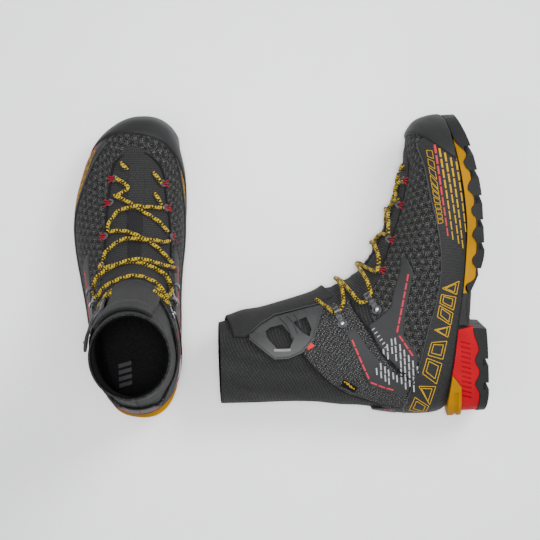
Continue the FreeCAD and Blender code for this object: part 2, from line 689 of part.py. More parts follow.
# ---------------------------------------------------------------- assembly
def boot():
    """Every piece of the right boot: node name to a list of solids."""
    return {
        "outsole_forefoot": [outsole_forefoot()],
        "outsole_heel": [outsole_heel()],
        "midsole": [midsole()],
        "arch_shank": [arch_shank()],
        "heel_block": [heel_block()],
        "heel_clip": [heel_clip()],
        "lasting_board": [plate(SOCK[0] - 0.9, 1.2, 1.2 + BOARD)],
        "footbed": [plate(LINING[0], 1.2 + BOARD + GAP, 1.2 + BOARD + GAP + FOOTBED)],
        "toe_cap": [toe_cap()],
        "rand_panels": rand_panels(),
        "vamp": [vamp_shell(KNIT, 1.0)],
        "quarters": quarter_shells(KNIT, 1.0),
        "foot_lining": [vamp_shell(LINING, 9.0)] + quarter_shells(LINING, 9.0),
        "toe_puff": [toe_puff()],
        "heel_counter": [heel_counter()],
        "lower_overlays": lower_overlays(),
        "tongue": [tongue()],
        "tongue_keeper": [tongue_keeper()],
        "lace_loops": lace_loops(),
        "lower_hooks": hooks("lower"),
        "lace_lower": lace_lower(),
        "cuff_wings": cuff_wings(),
        "cuff_overlays": cuff_overlays(),
        "gaiter_sock": cuff_tube(SOCK, 264.5),
        "cuff_lining": cuff_tube(LINING, 262.0),
        "upper_tongue": [upper_tongue()],
        "upper_hooks": hooks("upper"),
        "lace_upper": lace_upper(),
        "gaiter_flap": [gaiter_flap()],
        "pull_tab": [pull_tab()],
    }


def stand(shape):
    """Puts a left-boot shape upright in its place."""
    made = shape.copy()
    made.rotate(Vector(0, 0, 0), Vector(0, 0, 1), 90 + LEFT_YAW)
    made.translate(Vector(LEFT_AT[0], LEFT_AT[1], 0))
    return made


def lay(shape):
    """Lays a right-boot shape on its medial side, with the toe pointing the same way."""
    made = shape.copy()
    made.rotate(Vector(0, 0, 0), Vector(0, 0, 1), -RIGHT_PITCH)
    made.rotate(Vector(0, 0, 0), Vector(1, 0, 0), -90 + RIGHT_ROLL)
    made.rotate(Vector(0, 0, 0), Vector(0, 0, 1), 90 + RIGHT_YAW)
    made.translate(Vector(RIGHT_AT[0], RIGHT_AT[1], 0))
    return made


def extent(shapes):
    """Lowest and highest corner of these shapes."""
    points = [p for s in shapes for p in s.tessellate(0.2)[0]]
    low = Vector(min(p.x for p in points), min(p.y for p in points), min(p.z for p in points))
    high = Vector(max(p.x for p in points), max(p.y for p in points), max(p.z for p in points))
    return low, high


def pair():
    """Both boots on the ground, about the middle of the pair: node name to shape."""
    left, right = {}, {}
    for name, solids in boot().items():
        shape = Part.makeCompound(solids) if len(solids) > 1 else solids[0]
        left["left_" + name] = stand(shape.mirror(Vector(0, 0, 0), Vector(0, 1, 0)))
        right["right_" + name] = lay(shape)
    for group in (left, right):
        low, _ = extent(group.values())
        for shape in group.values():
            shape.translate(Vector(0, 0, -low.z))
    nodes = {**left, **right}
    low, high = extent(nodes.values())
    middle = Vector((low.x + high.x) / 2, (low.y + high.y) / 2, 0)
    for shape in nodes.values():
        shape.translate(-middle)
    return nodes


def main():
    os.makedirs("parts", exist_ok=True)
    for name, shape in pair().items():
        shape.exportStep(f"parts/{name}.step")
        state = "" if shape.isValid() else "  INVALID"
        print(f"{name:26s} {len(shape.Solids)} solids {shape.Volume:10.0f} mm3{state}")


main()
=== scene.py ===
"""A pair of mountaineering boots: the cloth, rubber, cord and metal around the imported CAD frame."""
import itertools
import json
import math

import bpy
import numpy as np
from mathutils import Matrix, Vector


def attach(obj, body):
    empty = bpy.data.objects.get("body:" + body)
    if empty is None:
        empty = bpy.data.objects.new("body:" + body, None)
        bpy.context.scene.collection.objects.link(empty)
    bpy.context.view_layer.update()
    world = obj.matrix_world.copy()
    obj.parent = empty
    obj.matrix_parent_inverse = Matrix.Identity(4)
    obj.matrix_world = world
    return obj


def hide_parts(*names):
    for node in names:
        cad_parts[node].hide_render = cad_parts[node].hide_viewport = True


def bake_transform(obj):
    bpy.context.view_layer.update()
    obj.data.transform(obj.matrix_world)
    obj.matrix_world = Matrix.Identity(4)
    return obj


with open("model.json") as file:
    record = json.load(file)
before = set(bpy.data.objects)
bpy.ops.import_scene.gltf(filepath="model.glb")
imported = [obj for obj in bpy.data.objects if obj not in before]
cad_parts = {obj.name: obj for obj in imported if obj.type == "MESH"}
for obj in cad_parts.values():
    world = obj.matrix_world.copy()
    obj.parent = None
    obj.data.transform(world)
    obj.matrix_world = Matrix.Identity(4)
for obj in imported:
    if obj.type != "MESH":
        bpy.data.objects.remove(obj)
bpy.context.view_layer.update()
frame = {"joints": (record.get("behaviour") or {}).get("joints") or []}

MM = 0.001

# ---------------------------------------------------------------- the boot frame
# Each boot is built in its own frame in millimetres, as in CAD: X forward from the heel, Z up,
# Y towards the medial side. The left boot is the mirror image of the right one.
PIVOT = (58.0, 90.0)                     # ankle flex axis (x, z)
LEFT_YAW = 3.0
RIGHT_YAW, RIGHT_PITCH, RIGHT_ROLL = 3.4, 5.49, 2.41
JOINTS = {j["name"]: j for j in frame["joints"]}


def turn(axis, degrees):
    """The matrix of a turn about x or z."""
    a = math.radians(degrees)
    c, s = math.cos(a), math.sin(a)
    if axis == "x":
        return np.array([[1, 0, 0], [0, c, -s], [0, s, c]])
    return np.array([[c, -s, 0], [s, c, 0], [0, 0, 1]])


def boot_to_row():
    """For each side, the matrix and the shift that take a boot-frame point (mm) to the row frame (m)."""
    turns = {
        "left": turn("z", 90 + LEFT_YAW) @ np.diag([1, -1, 1]),
        "right": turn("z", 90 + RIGHT_YAW) @ turn("x", -90 + RIGHT_ROLL) @ turn("z", -RIGHT_PITCH),
    }
    made = {}
    for side, matrix in turns.items():
        hinge = np.array(JOINTS[side + "_ankle_flex"]["pos_m"])
        pivot = np.array([PIVOT[0], 0, PIVOT[1]]) * MM
        made[side] = (matrix * MM, hinge - matrix @ pivot)
    return made


TO_ROW = boot_to_row()


def in_row(points, side):
    """Boot-frame points (mm) in the row frame (m)."""
    matrix, shift = TO_ROW[side]
    return np.asarray(points) @ matrix.T + shift


# ---------------------------------------------------------------- the boot's skin
# Sections of the skin, fanned round the instep: front or top (x, z), back or bottom (x, z), ridge
# offset, lateral and medial half width, squareness at the top and at the bottom, taper.
SECTIONS = np.array([
    (296.5, 17, 250, 13.0, 13, 37, 43.5, .78, .45, .30),
    (298.0, 31, 250, 12.0, 13, 37, 43.5, .78, .45, .30),
    (297.0, 45, 249, 11.5, 12, 37, 43, .80, .45, .30),
    (291.5, 58, 246, 11.0, 11, 39, 43.5, .82, .45, .24),
    (277.0, 67, 239, 10.0, 10, 45, 46, .85, .42, .16),
    (256.0, 69.5, 228, 9.0, 8.5, 50.5, 49, .85, .40, .12),
    (232.0, 75.5, 212, 8.0, 7, 56, 50, .85, .38, .10),
    (207.0, 84, 190, 7.5, 5.5, 59, 50, .88, .38, .10),
    (183.0, 95.5, 162, 8.0, 4.5, 58, 48.5, .92, .38, .10),
    (164.0, 106.5, 131, 10, 3.5, 54.5, 45, .95, .40, .10),
    (152.5, 116.5, 99, 13, 3, 51, 43, .95, .42, .08),
    (144.5, 127, 67, 17, 2.5, 48.5, 42.5, .95, .50, .05),
    (139.0, 137, 37, 23, 2, 46, 42, .92, .62, .02),
    (135.0, 147, 15, 34, 2, 44, 41.5, .90, .75, 0),
    (132.0, 157, 5.5, 52, 2, 42.5, 41.5, .88, .85, 0),
    (129.0, 168, 5.0, 77, 1.5, 41.5, 40.5, .88, .90, 0),
    (126.0, 180.5, 9.0, 103, 1.5, 42, 41, .90, .95, 0),
    (122.5, 195, 14.5, 130, 1, 42, 41.5, .92, .97, 0),
    (118.8, 211, 18.5, 160, 1, 41.5, 41.5, .95, 1, 0),
    (115.0, 228, 21, 193, 0, 41, 41, .97, 1, 0),
    (111.5, 246, 22.5, 229, 0, 40.5, 40.5, 1, 1, 0),
    (108.0, 264, 24, 266, 0, 40, 40, 1, 1, 0),
])
LAST = len(SECTIONS) - 1
FEATHER = [(0, 45), (18, 41.6), (44, 36.6), (65, 32.7), (94, 28.4), (134, 21.6), (160, 18.8),
           (189, 16.3), (234, 17.6), (276, 22.7), (290, 26.0), (302, 31)]


def section(u):
    """The section's measures at any u, from 0 to LAST, on a smooth curve through the table."""
    u = np.clip(np.asarray(u, float), 0, LAST)
    i = np.minimum(u.astype(int), LAST - 1)
    t = (u - i)[..., None]
    a, b = SECTIONS[np.maximum(i - 1, 0)], SECTIONS[i]
    c, d = SECTIONS[i + 1], SECTIONS[np.minimum(i + 2, LAST)]
    return 0.5 * (2 * b + (c - a) * t + (2 * a - 5 * b + 4 * c - d) * t ** 2
                  + (3 * b - a - 3 * c + d) * t ** 3)


def on_base(u, v):
    """Points of the skin. v is 0 at the front ridge, 1 at the back, positive on the lateral side."""
    u, v = np.broadcast_arrays(np.asarray(u, float), np.asarray(v, float))
    v = np.where(v > 1, v - 2, v)
    fx, fz, bx, bz, ridge, lateral, medial, top, bottom, taper = np.moveaxis(section(u), -1, 0)
    angle = np.pi * np.abs(v)
    share = (1 - np.cos(angle)) / 2
    power = top * (1 - share) + bottom * share
    half = np.where(v > 0, lateral, medial) * np.maximum(np.sin(angle), 0) ** power
    half = half * (1 - taper * np.cos(angle))
    y = ridge * (1 - share) ** 1.5 + np.where(v > 0, -half, half)
    return np.stack([fx + (bx - fx) * share, y, fz + (bz - fz) * share], -1)


def outward(u, v):
    """The skin's unit normals."""
    along = on_base(np.minimum(u + 0.05, LAST), v) - on_base(np.maximum(u - 0.05, 0), v)
    across = on_base(u, v + 0.01) - on_base(u, v - 0.01)
    normal = np.cross(along, across)
    return normal / np.maximum(np.linalg.norm(normal, axis=-1, keepdims=True), 1e-9)


def on_skin(u, v, offset):
    """Points at this distance outside the skin."""
    u, v = np.asarray(u, float), np.asarray(v, float)
    return on_base(u, v) + outward(u, v) * np.asarray(offset)[..., None]


STEPS = np.linspace(0, LAST, 4001)
ROWS = section(STEPS)


def place(x, z, side):
    """(u, v) of the skin's point at (x, z) seen from a side: L, M, F (front ridge), B (back).

    With side T the point is (x, y), seen from the top.
    """
    if side == "T":
        return place_top(x, z)
    if side[0] in "FB":
        k = 0 if side[0] == "F" else 2
        near = np.argmin((ROWS[:, k] - x) ** 2 + (ROWS[:, k + 1] - z) ** 2)
        return STEPS[near], {"F": 0.0, "B": 1.0, "BL": 1.0, "BM": -1.0}[side]
    fx, fz, bx, bz = ROWS[:, 0], ROWS[:, 1], ROWS[:, 2], ROWS[:, 3]
    lean = (bx - fx) * (z - fz) - (bz - fz) * (x - fx)
    crossed = np.nonzero(lean[:-1] * lean[1:] <= 0)[0]
    k = crossed[0] if len(crossed) else int(np.argmin(np.abs(lean)))
    w = lean[k] / (lean[k] - lean[k + 1] + 1e-12) if len(crossed) else 0
    u = STEPS[k] + w * (STEPS[1] - STEPS[0])
    fx, fz, bx, bz = section(u)[:4]
    share = ((x - fx) * (bx - fx) + (z - fz) * (bz - fz)) / ((bx - fx) ** 2 + (bz - fz) ** 2)
    v = math.acos(1 - 2 * min(max(share, 0.0), 1.0)) / math.pi
    return u, v if side == "L" else -v


GRID_U, GRID_V = np.meshgrid(np.linspace(2, 15, 900), np.linspace(-0.62, 0.62, 500), indexing="ij")
GRID_P = on_base(GRID_U, GRID_V)


def place_top(x, y):
    """(u, v) of the skin's point seen at (x, y) from above, on the foot."""
    far = (GRID_P[..., 0] - x) ** 2 + (GRID_P[..., 1] - y) ** 2 - 0.002 * GRID_P[..., 2]
    k = np.unravel_index(np.argmin(far), far.shape)
    return GRID_U[k], GRID_V[k]


def feather(x, lift=0.4):
    """(x, z) just above the line where upper and sole meet."""
    xs, zs = zip(*FEATHER)
    return (x, float(np.interp(x, xs, zs)) + lift)


# ---------------------------------------------------------------- lines and grids on the skin
def hermite(values, knots, t):
    """A smooth line through values at knots, taken at every t."""
    slope = np.gradient(values, axis=0) / np.gradient(knots)[:, None]
    i = np.clip(np.searchsorted(knots, t, side="right") - 1, 0, len(knots) - 2)
    width = (knots[i + 1] - knots[i])[:, None]
    s = (t - knots[i])[:, None] / width
    return (values[i] * (2 * s ** 3 - 3 * s ** 2 + 1) + slope[i] * width * (s ** 3 - 2 * s ** 2 + s)
            + values[i + 1] * (3 * s ** 2 - 2 * s ** 3) + slope[i + 1] * width * (s ** 3 - s ** 2))


def on(side, points):
    """The points with the side they are seen from."""
    return [(x, z, side) for x, z in points]


def spots(points):
    """(u, v) of (x, z, side) points."""
    return np.array([place(*p) for p in points])


def rail(points, t, smooth=True):
    """(u, v) at every t, from 0 to 1 along a line through (x, z, side) points."""
    uv = spots(points)
    at = on_base(uv[:, 0], uv[:, 1])
    knots = np.concatenate([[0], np.cumsum(np.maximum(np.linalg.norm(np.diff(at, axis=0), axis=1), .5))])
    knots /= knots[-1]
    if smooth:
        return hermite(uv, knots, t)
    return np.stack([np.interp(t, knots, uv[:, 0]), np.interp(t, knots, uv[:, 1])], -1)


def eased(count, edge=0.012):
    """Places from 0 to 1 with extra ones near both ends, for rounded edges."""
    inner = np.linspace(edge, 1 - edge, count)
    return np.concatenate([[0, edge * 0.12, edge * 0.4], inner, [1 - edge * 0.4, 1 - edge * 0.12, 1]])


def between(low, high, w):
    """A grid of (u, v) from the low line to the high line."""
    return low[:, None, :] * (1 - w)[None, :, None] + high[:, None, :] * w[None, :, None]


def strip_grid(low, high, per, across, edge=0.03):
    """A grid between two lists of matching corner points, which keeps the corners."""
    t = np.concatenate([np.arange(per) / per + i for i in range(len(low) - 1)] + [[len(low) - 1]])
    index = np.arange(len(low))

    def line(points):
        uv = spots(points)
        return np.stack([np.interp(t, index, uv[:, 0]), np.interp(t, index, uv[:, 1])], -1)
    return between(line(low), line(high), eased(across, edge))


def facing_out(uv):
    """The grid, reversed if its directions turn the other way than the skin's."""
    i, j = uv.shape[0] // 2, uv.shape[1] // 2
    a = on_base(*uv[i + 1, j]) - on_base(*uv[i, j])
    b = on_base(*uv[i, j + 1]) - on_base(*uv[i, j])
    turns_out = np.cross(a, b) @ outward(*uv[i, j]) > 0
    return uv if turns_out else uv[::-1]


def edge_distance(uv, open_ends=(True, True)):
    """How far each grid point is from the nearest border, in mm, along the grid's lines."""
    at = on_base(uv[..., 0], uv[..., 1])
    found = []
    for axis in (0, 1):
        if not open_ends[axis]:
            continue
        step = np.linalg.norm(np.diff(at, axis=axis), axis=-1)
        run = np.concatenate([np.zeros_like(np.take(step, [0], axis)), np.cumsum(step, axis)], axis)
        total = np.take(run, [-1], axis)
        found.append(np.minimum(run, total - run))
    return np.minimum.reduce(found)


def rounded(uv, outer, inner, radius=1.2, open_ends=(True, True)):
    """Outer offsets that fall to the inner one in a quarter round at the panel's borders."""
    near = np.clip(edge_distance(uv, open_ends) / radius, 0, 1)
    return inner + (outer - inner) * np.sqrt(1 - (1 - near) ** 2) + 0.02


def girth(uv):
    """Cloth coordinates in mm: along the grid's first and second directions."""
    at = on_base(uv[..., 0], uv[..., 1])
    a = np.zeros(uv.shape[:2])
    b = np.zeros(uv.shape[:2])
    a[1:] = np.cumsum(np.linalg.norm(np.diff(at, axis=0), axis=-1), 0)
    b[:, 1:] = np.cumsum(np.linalg.norm(np.diff(at, axis=1), axis=-1), 1)
    middle = uv.shape[1] // 2
    a = np.repeat(a[:, middle:middle + 1], uv.shape[1], 1)
    return np.stack([a, b, np.zeros_like(a)], -1)


# ---------------------------------------------------------------- making objects
LOCAL = {}                                # boot-frame points of each piece


def mesh_object(name, side, points, faces, material, cloth=None, face_material=None, flat=False):
    """A mesh piece from boot-frame points (mm); cloth holds its cloth coordinates (mm)."""
    if side == "left":
        faces = [f[::-1] for f in faces]
    me = bpy.data.meshes.new(f"{side}_{name}")
    me.from_pydata(in_row(points, side).tolist(), [], [list(map(int, f)) for f in faces])
    for m in material if isinstance(material, list) else [material]:
        me.materials.append(m)
    if face_material is not None:
        me.polygons.foreach_set("material_index", np.asarray(face_material, np.int32))
    me.polygons.foreach_set("use_smooth", np.full(len(me.polygons), not flat))
    layer = me.attributes.new("cloth", "FLOAT_VECTOR", "POINT")
    values = np.asarray(points if cloth is None else cloth, np.float32)
    layer.data.foreach_set("vector", values.ravel())
    me.update()
    made = bpy.data.objects.new(f"{side}_{name}", me)
    bpy.context.scene.collection.objects.link(made)
    LOCAL[made.name] = np.asarray(points, float)
    return made


def grid_faces(n, m, start=0, wrap=False):
    """The faces of a grid of n by m points; wrap joins the last row to the first."""
    rows = n if wrap else n - 1
    i, j = np.meshgrid(np.arange(rows), np.arange(m - 1), indexing="ij")
    a = start + i * m + j
    b = start + ((i + 1) % n) * m + j
    return np.stack([a, b, b + 1, a + 1], -1).reshape(-1, 4)


def shell(name, side, uv, outer, inner, material, wrap=False, lining=None):
    """A closed sheet between two offsets of the skin over a (u, v) grid."""
    n, m = uv.shape[:2]
    outer = np.broadcast_to(outer, (n, m))
    inner = np.broadcast_to(inner, (n, m))
    top = on_skin(uv[..., 0], uv[..., 1], outer).reshape(-1, 3)
    low = on_skin(uv[..., 0], uv[..., 1], inner).reshape(-1, 3)
    faces = [grid_faces(n, m, 0, wrap)[:, ::-1], grid_faces(n, m, n * m, wrap)]
    one_side = len(faces[0])
    borders = []
    steps = n if wrap else n - 1
    for i in range(steps):
        k = ((i + 1) % n) * m
        borders.append((i * m, k, n * m + k, n * m + i * m))
        borders.append((k + m - 1, i * m + m - 1, n * m + i * m + m - 1, n * m + k + m - 1))
    if not wrap:
        for j in range(m - 1):
            borders.append((j + 1, j, n * m + j, n * m + j + 1))
            k = (n - 1) * m + j
            borders.append((k, k + 1, n * m + k + 1, n * m + k))
    faces.append(np.array(borders)[:, ::-1])
    faces = np.concatenate(faces)
    cloth = np.tile(girth(uv).reshape(-1, 3), (2, 1))
    materials = [material]
    which = np.zeros(len(faces), int)
    if lining:
        materials.append(lining)
        which[one_side:2 * one_side] = 1
    return mesh_object(name, side, np.concatenate([top, low]), faces, materials, cloth, which)


def tube(name, side, path, radius, material, around=10, squash=1.0):
    """A cord along a dense path, with cloth coordinates (length, way round)."""
    path = np.asarray(path, float)
    tangent = np.gradient(path, axis=0)
    tangent /= np.linalg.norm(tangent, axis=1, keepdims=True)
    up = np.array([0.3, 0.2, 1.0])
    frames = []
    for t in tangent:
        up = up - t * (up @ t)
        up /= np.linalg.norm(up)
        frames.append(up)
    up = np.array(frames)
    out = np.cross(tangent, up)
    run = np.concatenate([[0], np.cumsum(np.linalg.norm(np.diff(path, axis=0), axis=1))])
    radii = np.broadcast_to(radius, len(path)).astype(float)
    angle = np.linspace(0, 2 * np.pi, around, endpoint=False)
    ring = (path[:, None] + radii[:, None, None] * (np.cos(angle)[None, :, None] * out[:, None]
            + squash * np.sin(angle)[None, :, None] * up[:, None]))
    n = len(path)
    i, j = np.meshgrid(np.arange(n - 1), np.arange(around), indexing="ij")
    a, b = i * around + j, i * around + (j + 1) % around
    faces = np.stack([a, b, b + around, a + around], -1).reshape(-1, 4).tolist()
    points = ring.reshape(-1, 3)
    cloth = np.stack([np.repeat(run, around), np.tile(angle, n), np.zeros(n * around)], -1)
    faces.append(list(range(around))[::-1])
    faces.append([(n - 1) * around + k for k in range(around)])
    return mesh_object(name, side, points, faces, material, cloth)


def joined(pieces, name):
    """One piece from several made for the same boot and of the same material."""
    points = np.concatenate([LOCAL.pop(p.name) for p in pieces])
    bpy.context.view_layer.objects.active = pieces[0]
    with bpy.context.temp_override(active_object=pieces[0], selected_editable_objects=pieces):
        bpy.ops.object.join()
    pieces[0].name = name
    pieces[0].data.name = name
    LOCAL[name] = points
    return pieces[0]


def flex(obj, side, *nodes):
    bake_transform(obj)
    if nodes:
        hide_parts(*[f"{side}_{n}" for n in nodes])
    return obj


def ride(obj, side, body, *nodes):
    """A piece that moves with one body and stands for these nodes."""
    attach(obj, f"{side}_{body}")
    if nodes:
        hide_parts(*[f"{side}_{n}" for n in nodes])
    return obj


# ---------------------------------------------------------------- materials
def linear(colour):
    """An sRGB colour from 0 to 255, or one grey level, as linear red, green, blue and alpha."""
    def one(c):
        c /= 255
        return c / 12.92 if c <= 0.04045 else ((c + 0.055) / 1.055) ** 2.4
    r, g, b = (colour,) * 3 if isinstance(colour, int) else colour
    return (one(r), one(g), one(b), 1.0)


class Shader:
    """A material under construction: short calls that add nodes and link them."""

    def __init__(self, name, rough=0.8, specular=0.3, metal=0.0, sheen=0.0):
        self.material = bpy.data.materials.new(name)
        self.material.use_nodes = True
        self.tree = self.material.node_tree
        self.base = self.tree.nodes["Principled BSDF"]
        settings = {"Roughness": rough, "Specular IOR Level": specular, "Metallic": metal,
                    "Sheen Weight": sheen, "Sheen Roughness": 0.5}
        for key, value in settings.items():
            self.base.inputs[key].default_value = value

    def node(self, kind, **settings):
        made = self.tree.nodes.new("ShaderNode" + kind)
        for key, value in settings.items():
            setattr(made, key, value)
        return made

    def put(self, value, socket):
        if isinstance(value, bpy.types.NodeSocket):
            self.tree.links.new(value, socket)
        else:
            socket.default_value = value

    def mapped(self, vector, scale):
        mapping = self.node("Mapping")
        self.put(vector, mapping.inputs["Vector"])
        mapping.inputs["Scale"].default_value = scale
        return mapping.outputs["Vector"]

    def cloth(self, stretch=(1, 1, 1)):
        """The piece's cloth coordinates in mm, stretched."""
        source = self.node("Attribute", attribute_name="cloth")
        return self.mapped(source.outputs["Vector"], stretch)

    def space(self):
        """Object coordinates in mm."""
        return self.mapped(self.node("TexCoord").outputs["Object"], (1 / MM,) * 3)

    def noise(self, vector, size, detail=2.0, rough=0.5):
        """Noise from 0 to 1 with grains of this size in mm."""
        made = self.node("TexNoise")
        self.put(vector, made.inputs["Vector"])
        made.inputs["Scale"].default_value = 1 / size
        made.inputs["Detail"].default_value = detail
        made.inputs["Roughness"].default_value = rough
        return made.outputs["Fac"]

    def math(self, what, a, b=0.0, c=0.0):
        made = self.node("Math", operation=what)
        self.put(a, made.inputs[0])
        self.put(b, made.inputs[1])
        self.put(c, made.inputs[2])
        return made.outputs[0]

    def blend(self, a, share_a, b, share_b):
        """Two values added, each times its share."""
        return self.math("MULTIPLY_ADD", a, share_a, self.math("MULTIPLY", b, share_b))

    def wave(self, vector, period, direction=(1, 0)):
        """A sine from 0 to 1 along a direction of the cloth."""
        dot = self.node("VectorMath", operation="DOT_PRODUCT")
        self.put(vector, dot.inputs[0])
        k = 2 * math.pi / period
        dot.inputs[1].default_value = (direction[0] * k, direction[1] * k, 0)
        sine = self.math("SINE", dot.outputs["Value"])
        return self.math("MULTIPLY_ADD", sine, 0.5, 0.5)

    def crossed(self, vector, periods, one=(1, 0), two=(0, 1)):
        """Two waves multiplied, as in a weave."""
        return self.math("MULTIPLY", self.wave(vector, periods[0], one), self.wave(vector, periods[1], two))

    def ramp(self, value, *stops):
        """A colour ramp through (position, sRGB colour) stops."""
        made = self.node("ValToRGB")
        self.put(value, made.inputs["Fac"])
        elements = made.color_ramp.elements
        while len(elements) < len(stops):
            elements.new(0.5)
        for element, (position, colour) in zip(elements, stops):
            element.position = position
            element.color = linear(colour)
        return made.outputs["Color"]

    def mix(self, factor, a, b):
        made = self.node("Mix", data_type="RGBA")
        self.put(factor, made.inputs["Factor"])
        self.put(a, made.inputs["A"])
        self.put(b, made.inputs["B"])
        return made.outputs["Result"]

    def painted_recess_shade(self, colour, reach=9.0):
        """The colour, blackened as painted shade in recesses up to this deep in mm."""
        # painted shade: ambient occlusion darkens the colour where recesses would lie in shadow
        made = self.node("AmbientOcclusion", samples=8)
        made.inputs["Distance"].default_value = reach * MM
        share = self.math("POWER", made.outputs["AO"], 2.2)
        return self.mix(share, (0.002, 0.002, 0.002, 1), colour)

    def done(self, colour, height=None, depth=0.3, rough=None):
        """Sets the colour, the bump (height times depth in mm) and the roughness."""
        self.put(colour, self.base.inputs["Base Color"])
        if rough is not None:
            self.put(rough, self.base.inputs["Roughness"])
        if height is not None:
            bump = self.node("Bump")
            bump.inputs["Distance"].default_value = depth * MM
            self.put(height, bump.inputs["Height"])
            self.put(bump.outputs["Normal"], self.base.inputs["Normal"])
        return self.material


def hexagons(s, vector, period):
    """A honeycomb of soft cells from three crossed waves, 0 to 1."""
    total = None
    for degrees in (0, 60, 120):
        a = math.radians(degrees)
        wave = s.wave(vector, period * 0.866, (math.cos(a), math.sin(a)))
        total = wave if total is None else s.math("ADD", total, wave)
    return s.math("DIVIDE", total, 3.0)


def knit_material():
    """Charcoal jacquard: raised honeycomb cells, speckled with grey yarn."""
    s = Shader("knit", rough=0.9, specular=0.12, sheen=0.02)
    v = s.cloth()
    cells = hexagons(s, v, 8.6)
    yarn = s.noise(v, 1.05, 1.5, 0.75)
    speck = s.blend(yarn, 0.94, s.crossed(v, (2.1, 1.7)), 0.08)
    tone = s.blend(cells, 0.13, speck, 0.92)
    colour = s.ramp(tone, (0.40, 12), (0.54, 27), (0.70, (95, 95, 93)))
    return s.done(colour, s.blend(cells, 0.8, speck, 0.7), 0.5)


def wing_material():
    """The cuff's knit: the same yarn without the cells."""
    s = Shader("wing_knit", rough=0.9, specular=0.12, sheen=0.02)
    v = s.cloth()
    yarn = s.noise(v, 1.05, 1.5, 0.75)
    speck = s.blend(yarn, 0.93, s.crossed(v, (2.6, 2.6), (0.8, 0.6), (-0.6, 0.8)), 0.10)
    return s.done(s.ramp(speck, (0.40, 18), (0.54, 42), (0.70, (116, 116, 115))), speck, 0.6)


def sock_material():
    """Stretch weave of the gaiter, with a fine diagonal rib."""
    s = Shader("sock_weave", rough=0.88, specular=0.12, sheen=0.02)
    v = s.cloth()
    weave = s.blend(s.wave(v, 1.9, (0.72, 0.69)), 0.5, s.wave(v, 2.3, (0.69, -0.72)), 0.35)
    grain = s.blend(s.noise(v, 0.9, 1.0, 0.7), 0.75, weave, 0.28)
    tone = s.math("MULTIPLY_ADD", s.noise(v, 38, 2.0), 0.16, grain)
    return s.done(s.ramp(tone, (0.34, 17), (0.62, 35), (0.82, (67, 67, 68))), weave, 0.3)


def flap_material():
    """Smooth woven stretch cloth of the front flap."""
    s = Shader("flap_weave", rough=0.86, specular=0.14, sheen=0.02)
    v = s.cloth()
    weave = s.crossed(v, (1.0, 1.0))
    grain = s.blend(s.noise(v, 1.1, 2.0), 0.6, weave, 0.3)
    return s.done(s.ramp(grain, (0.25, 29), (0.7, 51)), weave, 0.2)


def tongue_material():
    """Ribbed stretch cloth of the tongue."""
    s = Shader("tongue_stretch", rough=0.85, specular=0.12, sheen=0.02)
    v = s.cloth()
    weave = s.crossed(v, (1.3, 1.3), (0.7, 0.7), (0.7, -0.7))
    ribs = s.wave(v, 2.4, (1, 0.06))
    grain = s.blend(s.noise(v, 1.1, 2.0, 0.7), 0.7, weave, 0.2)
    tone = s.math("MULTIPLY_ADD", ribs, 0.14, grain)
    colour = s.ramp(tone, (0.30, 25), (0.58, 46), (0.85, 76))
    return s.done(colour, s.math("ADD", weave, ribs), 0.3)


def film_material(name, dark, light, period):
    """Welded film with a fine pressed texture."""
    s = Shader(name, rough=0.6, specular=0.22)
    v = s.cloth()
    patches = s.noise(v, 14, 3.0)
    grain = s.blend(s.noise(v, 0.8, 1.0), 0.5, patches, 0.4)
    colour = s.ramp(grain, (0.25, (dark, dark, dark + 1)), (0.7, (light, light, light + 1)))
    rough = s.math("MULTIPLY_ADD", patches, 0.3, 0.45)
    return s.done(colour, s.crossed(v, (period, period)), 0.12, rough)


def rand_material():
    """Dark wear film with fine upright ribs."""
    s = Shader("rand_film", rough=0.62, specular=0.2)
    ribs = s.wave(s.cloth(), 1.5)
    grain = s.blend(s.noise(s.cloth((1, 0.2, 1)), 1.0, 2.0), 0.7, ribs, 0.2)
    return s.done(s.ramp(grain, (0.3, 23), (0.75, 41)), ribs, 0.15)


def rubber_material(name, dark, light, rough=0.5, specular=0.25, shade_recesses=False):
    """Moulded rubber, slightly mottled and scuffed, optionally with painted shade blackening its recesses."""
    s = Shader(name, rough=rough, specular=specular)
    v = s.space()
    fine = s.noise(v, 1.6, 3.0, 0.6)
    scuffs = s.noise(v, 22, 4.0, 0.6)
    colour = s.ramp(s.blend(fine, 0.4, scuffs, 0.6), (0.3, (dark, dark, dark + 1)), (0.7, light))
    # painted shade: the recesses are blackened as if in shadow
    if shade_recesses:
        colour = s.painted_recess_shade(colour)
    return s.done(colour, fine, 0.10, s.math("MULTIPLY_ADD", scuffs, 0.3, rough - 0.15))


def foam_material(name, deep, bright, specular):
    """Moulded coloured foam with faint clouds and pores."""
    s = Shader(name, rough=0.5, specular=specular)
    v = s.space()
    clouds = s.noise(v, 30, 2.0)
    pores = s.noise(v, 0.8, 2.0)
    colour = s.ramp(s.blend(pores, 0.25, clouds, 0.75), (0.3, deep), (0.7, bright))
    return s.done(colour, pores, 0.08, s.math("MULTIPLY_ADD", clouds, 0.3, 0.35))


def lace_material():
    """Round braid of gold yarn with black flecks in a spiral."""
    s = Shader("lace_braid", rough=0.75, specular=0.2, sheen=0.05)
    source = s.node("Attribute", attribute_name="cloth")
    parts = s.node("SeparateXYZ")
    s.put(source.outputs["Vector"], parts.inputs[0])
    along, way = parts.outputs[0], parts.outputs[1]
    one, two = [s.math("SINE", s.blend(along, 2.1, way, turns)) for turns in (2.0, -2.0)]
    slow = s.math("SINE", s.math("MULTIPLY_ADD", along, 0.55, way))
    flecks = s.math("MULTIPLY_ADD", slow, 0.30, s.blend(one, 0.35, two, 0.3))
    grain = s.noise(s.space(), 0.9, 2.0)
    gold = s.ramp(grain, (0.3, (140, 114, 0)), (0.7, (196, 164, 4)))
    black = s.ramp(grain, (0.3, (10, 9, 6)), (0.7, (44, 38, 16)))
    colour = s.mix(s.math("GREATER_THAN", flecks, 0.0), gold, black)
    return s.done(colour, s.math("MULTIPLY", one, two), 0.35)


